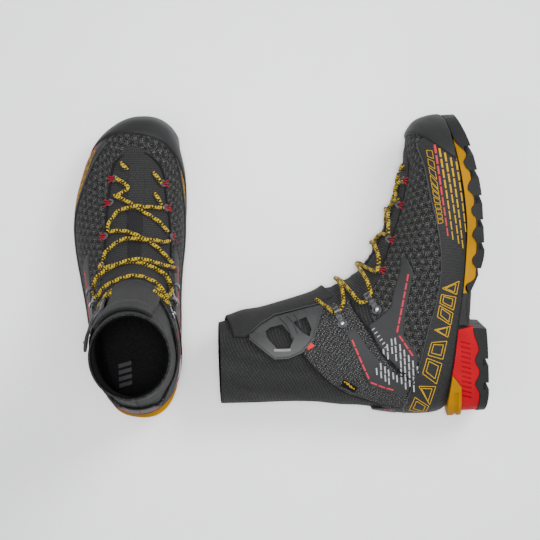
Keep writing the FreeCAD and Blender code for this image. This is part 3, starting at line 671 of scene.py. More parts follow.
def print_material(name, bright, deep):
    """Printed or stitched colour with a thread texture."""
    s = Shader(name, rough=0.75, specular=0.06)
    grain = s.noise(s.space(), 0.7, 2.0)
    return s.done(s.ramp(grain, (0.25, deep), (0.65, bright)), grain, 0.12)


def webbing_material(name, dark, light):
    """Woven tape or thread."""
    s = Shader(name, rough=0.8, specular=0.15, sheen=0.02)
    v = s.cloth()
    weave = s.blend(s.wave(v, 1.1), 0.6, s.wave(v, 1.6, (0, 1)), 0.4)
    grain = s.blend(s.noise(s.space(), 0.8, 1.0), 0.5, weave, 0.5)
    return s.done(s.ramp(grain, (0.25, dark), (0.75, light)), weave, 0.3)


def metal_material(name, dark, light, metal, rough):
    """Worn metal, painted or bare."""
    s = Shader(name, rough=rough, specular=0.5, metal=metal)
    v = s.space()
    wear = s.noise(v, 3.0, 4.0, 0.65)
    roughness = s.math("MULTIPLY_ADD", wear, 0.25, rough - 0.1)
    return s.done(s.ramp(wear, (0.35, dark), (0.7, light)), s.noise(v, 0.6, 2.0), 0.03, roughness)


def fleece_material():
    """Black fleece with short tufts."""
    s = Shader("fleece", rough=1.0, specular=0.05, sheen=0.02)
    tufts = s.noise(s.space(), 1.8, 3.0, 0.65)
    return s.done(s.ramp(tufts, (0.3, 2), (0.75, (20, 20, 21))), tufts, 1.2)


def felt_material(name, dark, light):
    """Pressed fibres."""
    s = Shader(name, rough=0.95, specular=0.08, sheen=0.02)
    fibres = s.noise(s.space(), 1.2, 4.0, 0.7)
    return s.done(s.ramp(fibres, (0.3, dark), (0.7, light)), fibres, 0.4)


MAT = {
    "knit": knit_material(),
    "wing": wing_material(),
    "sock": sock_material(),
    "flap": flap_material(),
    "tongue": tongue_material(),
    "film": film_material("overlay_film", 31, 45, 1.1),
    "rand": rand_material(),
    "toe": rubber_material("toe_rubber", 18, 27, 0.62),
    # the tread's recesses get painted shade
    "tread": rubber_material("tread_rubber", 22, 35, 0.66, specular=0.15, shade_recesses=True),
    "tab": rubber_material("tab_rubber", 36, 52),
    "lip": rubber_material("tab_lip", 104, 128),
    "shank": rubber_material("shank_plastic", 18, 30),
    "midsole": foam_material("midsole_foam", (134, 93, 0), (160, 112, 0), 0.02),
    "heel": foam_material("heel_foam", (140, 8, 22), (164, 14, 30), 0.03),
    "clip": foam_material("clip_plastic", (126, 86, 0), (154, 106, 0), 0.03),
    "lace": lace_material(),
    "red": print_material("red_print", (184, 54, 68), (154, 34, 46)),
    "thread": print_material("red_thread", (168, 28, 46), (96, 8, 22)),
    "mark": print_material("footbed_print", (74, 74, 76), (52, 52, 54)),
    "label": print_material("label_cloth", (12, 12, 13), (22, 22, 24)),
    "yellow": print_material("yellow_print", (182, 142, 14), (150, 114, 6)),
    "outline": print_material("outline_print", (186, 144, 4), (146, 110, 2)),
    "white": print_material("grey_print", (164, 164, 166), (130, 130, 132)),
    "webbing": webbing_material("grey_webbing", (40, 40, 42), (84, 84, 86)),
    "strap": webbing_material("black_webbing", (14, 14, 15), (36, 36, 38)),
    "seam": webbing_material("seam_thread", 8, (26, 26, 27)),
    "hook": metal_material("hook_metal", (32, 32, 34), (80, 80, 82), 0.6, 0.35),
    "rivet": metal_material("rivet_steel", (120, 120, 122), (210, 210, 212), 1.0, 0.24),
    "fleece": fleece_material(),
    "felt": felt_material("footbed_felt", 6, (34, 34, 36)),
    "board": felt_material("pressed_board", (96, 86, 70), (140, 128, 106)),
    "tag": print_material("red_tag", (216, 46, 44), (160, 24, 26)),
}


# ---------------------------------------------------------------- the textile upper
THROAT_LATERAL = [(158, -28.1), (184, -25.8), (207.6, -23.5), (234, -19.2), (250.8, -15), (259, -8)]
THROAT_MEDIAL = [(158, 37.5), (180.6, 38.3), (198.5, 37.4), (218.4, 35.4), (244, 33), (258.5, 22)]
THROAT_TIP = (263.6, 5.2, "T")


def knit_foot(side):
    """The knitted upper from heel to toe: one grid along the foot on each side of the throat."""
    feather_x = (11, 30, 60, 94, 134, 165, 195, 225, 250, 272, 290)
    ankle = [(18, 88.5), (38, 91.5), (66, 97.5), (98, 112), (122, 117)]
    pieces = []
    for half, throat in (("L", THROAT_LATERAL), ("M", THROAT_MEDIAL)):
        low = [(5.8, 45, "B" + half)] + on(half, map(feather, feather_x)) + [(298.3, 31, "F")]
        high = [(6.0, 86, "B" + half)] + on(half, ankle) + on("T", throat) + [THROAT_TIP]
        uv = facing_out(strip_grid(low, high, 26, 80, 0.012))
        offset = rounded(uv, 0.0, -1.4, 1.4, (False, True))
        pieces.append(shell("knit_foot_" + half, side, uv, offset, -1.45, MAT["knit"]))
    return flex(joined(pieces, side + "_knit_upper"), side, "vamp", "quarters")


def throat_binding(side):
    """The dark cord-like binding sewn round the throat's edge."""
    line = on("T", THROAT_LATERAL) + [THROAT_TIP] + on("T", reversed(THROAT_MEDIAL))
    uv = rail(line, np.linspace(0, 1, 200))
    path = on_skin(uv[:, 0], uv[:, 1], np.full(200, 0.1))
    return flex(tube("throat_binding", side, path, 1.3, MAT["seam"], 8, 0.8), side)


def knit_wings(side):
    """The cuff's knitted wings, from the flex line up to the gaiter, lapped over the foot's knit."""
    low = [(20, 81), (37, 85), (52, 92.5), (70, 102), (84, 112), (99, 121.5), (112, 129), (124.5, 134)]
    high = [(20.5, 113), (32, 141.5), (45, 158.8), (60, 172.5), (77, 184.7), (90, 177), (106, 166),
            (119, 160)]
    pieces = []
    for half in "LM":
        lows = [(6.0, 79, "B" + half)] + on(half, low)
        highs = [(8, 92, "B" + half)] + on(half, high)
        uv = facing_out(strip_grid(lows, highs, 22, 60, 0.012))
        offset = rounded(uv, 1.0, -0.6, 1.3, (False, True))
        pieces.append(shell("wings_" + half, side, uv, offset, -0.7, MAT["wing"]))
    return flex(joined(pieces, side + "_wings"), side, "cuff_wings")


def sleeve_grid(turns, levels):
    """A grid of (u, v) right round the boot at these levels."""
    v, u = np.meshgrid(np.linspace(-1, 1, turns + 1)[:-1], levels, indexing="ij")
    return np.stack([u, v], -1)


def gaiter(side):
    """The gaiter sock: a tube from the ankle to the collar, rucked where the ankle bends."""
    levels = np.concatenate([np.linspace(9.2, 20.3, 90), np.linspace(20.4, LAST, 16)])
    uv = sleeve_grid(180, levels)
    u, v = uv[..., 0], uv[..., 1]
    hem = np.where(levels > LAST - 0.02, -2.0, -1.5)
    ruck = 1.5 * np.exp(-((u - 17.6) / 0.5) ** 2) * np.cos(2.2 * np.pi * (v - 0.1))
    ruck += 0.9 * np.sin(9 * v + 1.1 * u) * np.exp(-((u - 18.6) / 1.3) ** 2)
    ruck *= np.clip((20.3 - u) / 0.6, 0, 1) * np.clip((u - 15.5) / 1.0, 0, 1)
    outer = hem[None, :] + ruck * 0.8
    sock = shell("gaiter_sock", side, uv, outer, -3.3, MAT["sock"], wrap=True, lining=MAT["fleece"])
    return flex(sock, side, "gaiter_sock")


def linings(side):
    """The black fleece inside the shaft and the foot, one sleeve from the collar to the toe."""
    uv = sleeve_grid(120, np.linspace(3.5, LAST - 0.15, 110))
    sleeve = shell("fleece_lining", side, uv, -3.7, -5.3, MAT["fleece"], wrap=True)
    return flex(sleeve, side, "cuff_lining", "foot_lining")


# ---------------------------------------------------------------- flat pieces laid on the skin
def patch(name, side, corners, lift, thick, material, cells=(10, 10), radius=0.8):
    """A panel over four side-view corners: two lines of two points."""
    low, high = corners
    t = eased(cells[0], 0.02)
    uv = facing_out(between(rail(low, t), rail(high, t), eased(cells[1], 0.02)))
    return shell(name, side, uv, rounded(uv, lift + thick, lift, radius), lift - 0.4, material)


def ribbon(points, widths, lift, half, thick=0.25):
    """The cross sections of a thin raised band along a side-view line."""
    uv = spots(on(half, points))
    at = on_base(uv[:, 0], uv[:, 1])
    normal = outward(uv[:, 0], uv[:, 1])
    along = np.gradient(at, axis=0)
    across = np.cross(normal, along)
    across /= np.linalg.norm(across, axis=1, keepdims=True)
    sideways = across * np.asarray(widths)[:, None] / 2
    top = at + normal * (lift + thick)
    foot = at + normal * (lift - 0.25)
    return np.stack([foot - sideways, top - sideways * 0.86, top + sideways * 0.86, foot + sideways], 1)


def bars(name, side, rings_list, material):
    """One object from many small bands."""
    faces = []
    start = 0
    for rings in rings_list:
        end = start + 4 * (len(rings) - 1)
        for a in range(start, end, 4):
            faces += [(a + k, a + 4 + k, a + 5 + k, a + k + 1) for k in range(3)]
        faces += [(start, start + 1, start + 2, start + 3), (end + 3, end + 2, end + 1, end)]
        start = end + 4
    points = np.concatenate([rings.reshape(-1, 3) for rings in rings_list])
    return mesh_object(name, side, points, faces, material, points, flat=True)


def dashes(points, pitch, dash, widths, lift, half):
    """Dashes along a side-view line, at this pitch and length in mm."""
    at = np.array(points, float)
    run = np.concatenate([[0], np.cumsum(np.linalg.norm(np.diff(at, axis=0), axis=1))])
    made = []
    count = int((run[-1] + pitch - dash) // pitch)
    for k in range(count):
        s = np.linspace(k * pitch, min(k * pitch + dash, run[-1]), 4)
        line = np.stack([np.interp(s, run, at[:, 0]), np.interp(s, run, at[:, 1])], -1)
        width = widths[0] + (widths[1] - widths[0]) * s / run[-1]
        made.append(ribbon(line, width, lift, half))
    return made


# ---------------------------------------------------------------- rubber and film on the foot
def toe_cap(side):
    """The moulded rubber toe cap, thicker than the film beside it."""
    low = [(258.5, 20.9, "L"), (270, 22.6, "L"), (284, 25.1, "L"), (295, 28, "L"), (298.3, 31, "F"),
           (294, 27.6, "M"), (276, 23.3, "M"), (245, 18.6, "M"), (205, 17.2, "M"), (174, 18.0, "M")]
    high = [(258.5, 24, "L"), (264.5, 31.5, "L"), (272, 41, "L"), (281, 53, "L"), (281.5, 65.9, "F"),
            (269, 60.5, "M"), (249, 51, "M"), (228, 42.5, "M"), (200, 34, "M"), (174, 29, "M")]
    uv = facing_out(strip_grid(low, high, 12, 40, 0.03))
    cap = shell("toe_cap", side, uv, rounded(uv, 2.7, 0.3, 2.4), 0.1, MAT["toe"])
    return ride(cap, side, "foot", "toe_cap")


RAND_TOP = [(13.4, 85.2), (27, 80), (41.8, 75.3), (64.4, 66.9), (91, 59.4), (115.5, 50.9), (140.3, 45.5),
            (153.2, 43.9), (175.2, 43.7), (200.4, 46.4), (225.7, 50.6), (255.9, 54), (274, 58)]


RAND_FOOT = (12, 27, 42, 64, 91, 115, 140, 153, 175, 200, 226, 255, 272)


def rand(side):
    """The wear film round the foot, with a raised line along its upper edge."""
    pieces, beads = [], []
    for half in "LM":
        low = [(5.4, 55, "B" + half)] + on(half, [feather(x, 1.2) for x in RAND_FOOT])
        high = [(5.8, 84, "B" + half)] + on(half, RAND_TOP)
        uv = facing_out(strip_grid(low, high, 12, 24, 0.02))
        pieces.append(shell("rand_" + half, side, uv, rounded(uv, 0.95, 0.2, 0.9), -0.1, MAT["rand"]))
        line = rail(high, np.linspace(0, 1, 160))
        path = on_skin(line[:, 0], line[:, 1], np.full(160, 0.95))
        beads.append(tube("bead_" + half, side, path, 0.75, MAT["tab"], 8))
    ride(joined(beads, side + "_rand_bead"), side, "foot")
    return ride(joined(pieces, side + "_rand"), side, "foot", "rand_panels")


FOOT_FILM = ([(165.4, 80.6), (151.1, 83.9), (130.5, 91.3), (116.3, 94.5), (109.2, 103.1), (99.5, 117),
              (84, 111.5), (68, 102), (54.5, 90), (43.5, 79)],
             [(163.5, 76.2), (151.3, 71.6), (137, 74), (118, 79), (98, 83), (88, 83.5),
              (76, 76.5), (66, 70), (54, 72), (42, 76.5)])
CUFF_FILM = ([(92.4, 139.6), (79.5, 135.5), (64, 129.1), (51, 124.5), (40.4, 119.4), (31.5, 101), (26.2, 86)],
             [(97, 131.5), (88, 125.5), (74.4, 117.4), (58.6, 104.4), (49.5, 94.5), (43, 84.5), (38.9, 77.5)])


def overlays(side):
    """The welded film over the ankle and its lower branch, on both sides."""
    for name, (low, high), node, lift in (("foot_film", FOOT_FILM, "lower_overlays", 0.1),
                                          ("cuff_film", CUFF_FILM, "cuff_overlays", 1.15)):
        pieces = []
        for half in "LM":
            uv = facing_out(strip_grid(on(half, low), on(half, high), 9, 16, 0.03))
            outer = rounded(uv, lift + 0.7, lift - 0.2, 0.8)
            pieces.append(shell(name + half, side, uv, outer, lift - 0.5, MAT["film"]))
        flex(joined(pieces, f"{side}_{name}"), side, node)


# ---------------------------------------------------------------- printed and stitched rows
YELLOW_ROWS = [[(268.6, 38.1), (222, 34.8), (174.9, 31.2)], [(264.2, 33.4), (216, 29.6), (167.8, 25.4)],
               [(259.3, 28.2), (210, 24.9), (161.4, 21.5)], [(255.2, 23.1), (220, 20.6), (186, 18.6)]]
FLEX_LINE = [(40.8, 75.3), (51.7, 88.7), (63.3, 100.1), (81, 111), (98.6, 120), (117.8, 131.2)]
GRID_ROWS = [(111.8, 56.9, 44), (107.5, 61.5, 43.2), (103.5, 57.9, 40.6), (104, 75.2, 64.9),
             (100, 79.8, 59.5), (100, 54.7, 39.4), (95.6, 85, 64.3), (95.6, 51.5, 39.2), (92, 85.8, 55.3),
             (92, 48.4, 36), (87.6, 79.1, 34.2), (83.7, 73.5, 32.5), (79.6, 67.8, 31.3), (75.6, 62.1, 29.6),
             (71.4, 56.1, 47.2)]             # height, front end, back end
RED_TOE = [(272.3, 42.2), (226, 39.6), (180.8, 36.1)]
RED_LOWER = [[(148.1, 75.8), (134, 79.2), (119.4, 82.7), (89.4, 90.1)], [(87.6, 87.6), (66.3, 75)]]
RED_CUFF = [[(85.4, 134.1), (63.9, 126.6), (42.9, 118.1)], [(42.9, 118.1), (37.1, 105.6), (31.4, 89.3)]]


DASH = 8.2                               # length of a dash in the yellow rows and the pitch of the grid
FOOT_LIFT, CUFF_LIFT = 1.0, 1.95         # how high prints lie on the foot's cloth and on the cuff's film


def grid_dashes(half):
    """The grid of short grey dashes, which crosses from the foot to the cuff."""
    seam_x, seam_z = zip(*FLEX_LINE)
    made = []
    for z, front, back in GRID_ROWS:
        for k in range(int((front - back + 1.4) // DASH)):
            x = front - DASH * k
            lift = CUFF_LIFT if z > np.interp(x - 3.4, seam_x, seam_z) else FOOT_LIFT
            made += dashes([(x, z), (x - 6.8, z - 0.3)], DASH, 6.8, (1.5, 1.5), lift, half)
    return made


def stitched_rows(side):
    """The rows of coloured dashes on the foot and on the cuff."""
    yellow, white, red, cuff = [], [], [], []
    for half in "LM":
        for row in YELLOW_ROWS:
            yellow += dashes(row, 10, DASH, (2.1, 0.95), FOOT_LIFT, half)
        red += dashes(RED_TOE, 10, DASH, (2.4, 1.2), FOOT_LIFT, half)
        white += grid_dashes(half)
        for row in RED_LOWER:
            red += dashes(row, 8.6, 7, (1.8, 1.8), 0.8, half)
        for row in RED_CUFF:
            cuff += dashes(row, 8.6, 7, (1.7, 1.7), 1.8, half)
    for name, rings, key in (("yellow_dashes", yellow, "yellow"), ("grey_dashes", white, "white"),
                             ("red_dashes", red, "red"), ("cuff_dashes", cuff, "red")):
        flex(bars(name, side, rings, MAT[key]), side)


WIDE_BAND = ([(7.6, 81), (31.3, 72), (59.5, 63.2), (79.9, 56.4), (109, 49), (124.1, 45.8), (137.4, 43.2)],
             [(5.4, 63.4), (17.6, 58.2), (52.7, 47.7), (82.8, 40), (98.5, 35.7), (120.2, 31.1),
              (139.6, 26.5)])
SMALL_BAND = ([(195.8, 44.9), (214.3, 46.9), (239.3, 49), (268, 50.4)],
              [(197.2, 40), (214, 41.2), (230.6, 42.5), (268, 44.8)])


def band_point(band, t, height):
    """(x, z) in a band between a top and a bottom line, at t along it and height up it."""
    ends = []
    for line in band:
        line = np.array(line, float)
        knots = np.linspace(0, 1, len(line))
        ends.append(np.array([np.interp(t, knots, line[:, 0]), np.interp(t, knots, line[:, 1])]))
    return ends[0] * height + ends[1] * (1 - height)


def outlined(band, corners, width, half):
    """The outline of a closed shape whose corners are given in a band."""
    made = []
    ends = [band_point(band, t, h) for t, h in corners]
    for a, b in zip(ends, ends[1:] + ends[:1]):
        line = [a + (b - a) * k / 5 for k in range(6)]
        made.append(ribbon(line, [width] * 6, FOOT_LIFT, half, 0.12))
    return made


def wide_shape(k, count, inset):
    """Corners of one of the large slanted shapes: every third is a triangle, the others have four."""
    a, b = (k + 0.05) / count, (k + 0.95) / count
    m = inset / count * 0.9
    low, high = 0.02 + inset, 0.98 - inset
    if k % 3 == 1:
        return [(a + m, low), (b - m, low), ((a + b) / 2 + 0.006, high)]
    return [(a + m, low), (b - m - 0.012, low), (b - m, high), (a + m + 0.012, high)]


def small_shape(k, count):
    """Corners of one of the small slanted shapes."""
    a, b = (k + 0.14) / count, (k + 0.86) / count
    return [(a, 0.05), (b, 0.05), (b + 0.006, 0.95), (a + 0.006, 0.95)]


def outlined_shapes(side):
    """Plain slanted shapes in double outline along the rand, and small ones by the toe."""
    wide, small = [], []
    for half in "LM":
        for k in range(8):
            for inset in (0.0, 0.17):
                wide += outlined(WIDE_BAND, wide_shape(k, 8, inset), 0.8, half)
        for k in range(11):
            small += outlined(SMALL_BAND, small_shape(k, 11), 0.55, half)
    flex(bars("outlined_shapes", side, wide, MAT["outline"]), side)
    flex(bars("small_shapes", side, small, MAT["outline"]), side)


# ---------------------------------------------------------------- tongue, loops, hooks and lace
SHAFT_SIDE = [(132, 110), (122, 124), (120, 150), (116, 176)]
TONGUE_LATERAL = [(270, -5), (257, -18), (236, -23), (208, -27), (182, -30), (158, -32)]
TONGUE_MEDIAL = [(270, 13), (257, 30), (238, 38), (208, 40), (182, 41), (158, 41)]


def tongue(side):
    """The padded tongue in the throat, running up under the gaiter's flap."""
    low = on("T", TONGUE_LATERAL) + on("L", SHAFT_SIDE)
    high = on("T", TONGUE_MEDIAL) + on("M", SHAFT_SIDE)
    uv = facing_out(strip_grid(low, high, 18, 60, 0.01))
    crown = 1 - np.linspace(-1, 1, uv.shape[1])[None, :] ** 2
    outer = -1.9 + 3.2 * crown + 0.35 * np.sin(uv[..., 0] * 7.0) * crown
    made = shell("tongue_pad", side, uv, outer, -3.4, MAT["tongue"])
    flex(made, side, "tongue", "upper_tongue")
    return made


KEEPER_FRONT = [(250, 68.0), (222, 74.6), (203, 80.2)]
KEEPER_LADDER = [(202.8, 80.3), (193, 83.5), (163, 97), (148, 112)]


def keeper(side):
    """The strip down the tongue's middle: plain in front, then the black ladder that holds the laces."""
    pieces = []
    for ridge, key, rung in ((KEEPER_FRONT, "tongue", 0.0), (KEEPER_LADDER, "strap", 0.45)):
        line = rail(on("F", ridge), np.linspace(0, 1, 50))
        uv = facing_out(between(line + [0, 0.04], line - [0, 0.04], eased(10, 0.04)))
        ladder = rung * (np.sin(uv[..., 0] * 16) > 0)
        pieces.append(shell("keeper_" + key, side, uv, rounded(uv, 2.1, 0.8, 0.7) + ladder, 0.3, MAT[key]))
    return ride(joined(pieces, side + "_keeper"), side, "foot", "tongue_keeper")


def frame_at(x, y):
    """The skin's point, normal, and forward and sideways tangents at a place seen from above."""
    u, v = place_top(x, y)
    point, normal = on_base(u, v), outward(u, v)
    sideways = np.cross(normal, [1.0, 0, 0])
    sideways /= np.linalg.norm(sideways)
    forward = np.cross(sideways, normal)
    return point, normal, forward, sideways


LOOPS = [(238, -13.5), (214, -18.5), (181, -24.5), (152, -28),
         (230.5, 31.5), (206, 33.5), (177, 37.5), (146, 39.5)]
THREAD_SPREAD = (-3.6, 0.0, 3.6)


def loop_strap(point, normal, forward, inward):
    """The path of a webbing loop that stands up beside the throat."""
    s = np.linspace(-1, 1, 15)
    return (point + inward * (5.5 * np.cos(s * 1.45) - 3.0)[:, None] + forward * (3.2 * s)[:, None]
            + normal * (1.2 + 2.6 * np.cos(s * 1.5))[:, None])


def loop_thread(point, normal, forward, inward, spread):
    """The path of one stitch of the fan behind a loop."""
    start = point + inward * 1.0 + forward * spread * 0.8 + normal * 1.4
    middle = point - inward * 3 + forward * spread * 0.1 + normal * 1.6
    end = point - inward * 7.5 + forward * spread + normal * 0.4
    t = np.linspace(0, 1, 9)[:, None]
    return start * (1 - t) ** 2 + 2 * middle * t * (1 - t) + end * t ** 2


def lace_loops(side):
    """Webbing loops beside the throat, with red threads that spread from them like a fan."""
    straps, threads = [], []
    for k, (x, y) in enumerate(LOOPS):
        point, normal, forward, sideways = frame_at(x, y)
        at = (point, normal, forward, sideways if y < 0 else -sideways)
        straps.append(tube(f"loop_{k}", side, loop_strap(*at), 1.25, MAT["webbing"], 8))
        for spread in THREAD_SPREAD:
            path = loop_thread(*at, spread)
            threads.append(tube(f"thread_{k}_{spread}", side, path, 0.6, MAT["thread"], 6))
    flex(joined(straps, side + "_loops"), side, "lace_loops")
    flex(joined(threads, side + "_loop_threads"), side)


LACE_STRANDS = [
    [(252.9, -6.6), (248.8, -3.9), (245.7, -1.1)],
    [(238.5, -12.5), (235.2, -9), (232, -4.8), (227.9, -1.5), (224.5, -4), (219.5, -13.5)],
    [(242, 23.5), (234.3, 27.9), (230, 30.5)],
    [(221, 24), (213.6, 26.8), (209, 29.6)],
    [(220.6, -15), (216.4, -7.6), (212.1, -.9), (208.1, 5.5), (201.7, 12.8), (192.2, 25.7), (181.1, 34.5)],
    [(205.5, 31), (206, 21.5), (206.3, 13), (206.8, 5.8), (205.5, -1.6), (202.8, -11.2), (191.5, -20.5),
     (185.5, -22)],
    [(184.5, -21), (184.3, -8.3), (180.3, 3), (172.8, 15.2), (164.7, 24.3), (158.2, 29.9), (150.5, 36.5)],
    [(172.8, 35), (171.6, 27.6), (172.4, 21.5), (172.6, 11.8), (174.0, 2.6), (174.3, -4.8), (171.4, -13),
     (163, -24), (156.5, -26.5)],
]
OVER_STRANDS = (5, 7)                    # these pass over the strands they cross


def lace_path(points, rise):
    """A lace strand over the tongue: on the loops at its ends and lifted over the other strand."""
    uv = np.array([place_top(x, y) for x, y in points])
    lift = 3.2 + rise * np.sin(np.linspace(0, np.pi, len(points)))
    t = np.linspace(0, 1, len(points))
    at = on_skin(uv[:, 0], uv[:, 1], lift)
    return hermite(at, t, np.linspace(0, 1, 14 * len(points)))


LACE_RADIUS = 1.95
LOWER_HOOK, UPPER_HOOK = (121.5, 117.5), (110.5, 147.5)      # where the lace bends round them
ANKLE_STRANDS = [
    ([(154.5, -27, "T"), (149, 103, "L"), (149, 114, "F"), (140, 112.5, "M"), (128, 111, "M")], 3.8),
    ([(146.5, 37.5, "T"), (147, 104, "M"), (149, 115, "F"), (140, 112.5, "L"), (128, 111, "L")], 7.6),
]
SHAFT_STRAND = ([(121, 123, "L"), (130.5, 131, "L"), (137, 139, "F"), (131, 138.5, "M"), (118.5, 140, "M")],
                3.8)
SECOND_STRAND = {                        # over the first one on the right boot, under the flap on the left
    "right": ([(121, 123, "M"), (130.5, 131, "M"), (136.5, 142, "F"), (133, 138.5, "L"),
               (118.5, 139.5, "L")], 7.6),
    "left": ([(119, 127, "M"), (124, 141, "M"), (134.2, 150, "F"), (125, 147, "L"), (117, 146.5, "L")],
             1.6),
}
TUCKED_END = [(113.5, 152.5), (118, 158), (123.5, 166)]      # from the upper hook to under the flap


def strand(points, rise):
    """A dense path over side-view points, lifted in the middle to pass over another strand."""
    uv = spots(points)
    lift = 3.4 + (rise - 3.4) * np.sin(np.linspace(0, np.pi, len(points)))
    at = on_skin(uv[:, 0], uv[:, 1], lift)
    t = np.concatenate([[0], np.cumsum(np.linalg.norm(np.diff(at, axis=0), axis=1))])
    return hermite(at, t / t[-1], np.linspace(0, 1, 100))


def laces(side):
    """The braided lace through the loops, round the hooks and up under the flap."""
    strands = []
    for k, points in enumerate(LACE_STRANDS):
        strands.append(lace_path(points, 4.2 if k in OVER_STRANDS else 1.4))
    for points, rise in ANKLE_STRANDS:
        strands.append(strand(points + on(points[-1][2], [LOWER_HOOK]), rise))
    for points, rise in (SHAFT_STRAND, SECOND_STRAND[side]):
        start, end = on(points[0][2], [LOWER_HOOK]), on(points[-1][2], [UPPER_HOOK])
        strands.append(strand(start + points + end, rise))
    for half in "LM":
        strands.append(strand(on(half, [UPPER_HOOK] + TUCKED_END), 3.4))
    pieces = [tube(f"lace_{k}", side, path, LACE_RADIUS, MAT["lace"], 12) for k, path in enumerate(strands)]
    flex(joined(pieces, side + "_lace"), side, "lace_lower", "lace_upper")


def dome(centre, normal, radius, height):
    """Rings of a rivet's round head."""
    out = np.cross(normal, [0.3, 0.2, 1.0])
    out /= np.linalg.norm(out)
    up = np.cross(normal, out)
    rings = []
    for a in np.linspace(0, np.pi / 2, 7):
        angle = np.linspace(0, 2 * np.pi, 24, endpoint=False)
        r = radius * math.cos(a)
        rings.append(centre + r * (np.cos(angle)[:, None] * out + np.sin(angle)[:, None] * up)
                     + normal * height * math.sin(a))
    return np.array(rings)


FOOTBED_TOP = 7.9                        # just over the footbed, above the joint line


def footbed_mark(side):
    """Pale slanted bars printed on the footbed's heel."""
    points = []
    for x in (30.0, 36.5, 43.0, 49.5):
        corners = [(x, -22), (x + 4, -22), (x + 7, -9), (x + 3, -9)]
        points += [(a, b, feather(a, FOOTBED_TOP)[1]) for a, b in corners]
    points = np.array(points)
    faces = np.arange(len(points)).reshape(-1, 4)
    ride(mesh_object("footbed_mark", side, points, faces, MAT["mark"], points, flat=True), side, "foot")


def rivets(side):
    """The bright domed rivets that hold the hooks."""
    for name, x, z, body in (("foot_rivets", 114, 107.5, "foot"), ("cuff_rivets", 101.4, 142.5, "cuff")):
        points, faces = [], []
        for half in "LM":
            u, v = place(x, z, half)
            rings = dome(on_skin(u, v, 3.2), outward(u, v), 2.9, 2.2)
            turns, around = rings.shape[:2]
            start = turns * around * len(points)
            points.append(rings.reshape(-1, 3))
            for i in range(turns - 1):
                for j in range(around):
                    a, b = start + i * around + j, start + i * around + (j + 1) % around
                    faces.append((a, b, b + around, a + around))
            faces.append([start + (turns - 1) * around + j for j in range(around)])
        ride(mesh_object(name, side, np.concatenate(points), faces, MAT["rivet"]), side, body)


# ---------------------------------------------------------------- the gaiter's flap and its pull tab
FLAP_LATERAL = [(127, 149.5), (121.2, 166), (117.5, 186), (111, 209), (101, 223.5), (93.5, 240),
                (94.5, 250)]
FLAP_MEDIAL = [(119, 149.5), (116, 166), (113, 186), (109, 212), (106, 232), (104, 248), (101.5, 257.5)]


def flap(side):
    """The front flap, sewn to the gaiter along its medial edge and folded in at the top."""
    uv = facing_out(strip_grid(on("L", FLAP_LATERAL), on("M", FLAP_MEDIAL), 16, 60, 0.015))
    u = uv[..., 0]
    across = np.linspace(-1, 1, uv.shape[1])[None, :]
    fold = 2.2 * np.exp(-((u - 19.6) / 0.7) ** 2) + 4.5 * np.exp(-((u - 13.3) / 1.2) ** 2)
    outer = rounded(uv, 1.9, 0.5, 1.4) + (fold * (1 - across ** 2) + 0.9 * (1 - across ** 4))
    made = shell("flap", side, uv, outer, outer - 1.3, MAT["flap"])
    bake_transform(made)
    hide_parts(side + "_gaiter_flap")
    return made


TAB_EDGE = [(96, 234), (104, 222.5), (110.6, 208), (119.6, 163), (117, 161.6), (95.5, 170.6), (89.4, 172.8),
            (77.3, 185.3), (72.6, 198), (72.5, 211.4), (79.0, 219), (92.3, 234.6), (96, 234)]
CLAWS = [[(109.5, 196), (103, 190.5), (94, 187.5)], [(108, 203), (99, 196), (88, 193)],
         [(111, 189), (106, 186), (98.5, 184)]]


LIP = [(79.5, 212), (78.9, 204), (78.9, 195.5)]


def tab_trim(side):
    """The raised rim of the pull tab, the light lip at its back and the ridges on it."""
    lines = [("rim", TAB_EDGE, 0.75, "tab"), ("lip", LIP, 2.1, "lip")]
    lines += [(f"claw_{k}", line, 1.1, "tab") for k, line in enumerate(CLAWS)]
    for name, line, radius, key in lines:
        uv = rail(on("L", line), np.linspace(0, 1, 24 * len(line)), name != "rim")
        path = on_skin(uv[:, 0], uv[:, 1], np.full(len(uv), 4.2))
        ride(tube("tab_" + name, side, path, radius, MAT[key], 8, 0.7), side, "flap")


def tag_and_label(side):
    """The red tag under the pull tab and the small dark label on the cuff."""
    tag = (on("L", [(83.0, 180.8), (78.0, 178.0)]), on("L", [(85.6, 174.4), (82.0, 171.4)]))
    ride(patch("red_tag", side, tag, 1.2, 0.8, MAT["tag"], (6, 8), 0.4), side, "cuff")
    label = (on("L", [(47.5, 144.2), (38.6, 130.8)]), on("L", [(40.9, 147.8), (32.6, 133.6)]))
    ride(patch("label", side, label, 0.9, 0.7, MAT["label"], (12, 8), 0.6), side, "cuff")


def flex_marks(side):
    """Six small bars along the film above the ankle."""
    made = []
    for k in range(6):
        x, z = 95.5 - 3.6 * k, 112.5 - 2.3 * k
        made.append(ribbon([(x - 1.3, z + 1.4), (x, z - 0.4), (x + 0.4, z - 1.4)], [1.0] * 3, 1.0, "L"))
    flex(bars("flex_marks", side, made, MAT["white"]), side)


def label_dots(side):
    """Small dots on the label."""
    made = []
    for k in range(9):
        row, column = divmod(k, 3)
        x = 37.4 + 2.7 * column + 1.1 * row
        z = 134.6 + 2.6 * column + 1.9 * row
        made.append(ribbon([(x - 0.6, z - 0.4), (x, z), (x + 0.6, z + 0.4)], [1.3] * 3, 1.6, "L"))
    ride(bars("label_dots", side, made, MAT["outline"]), side, "cuff")


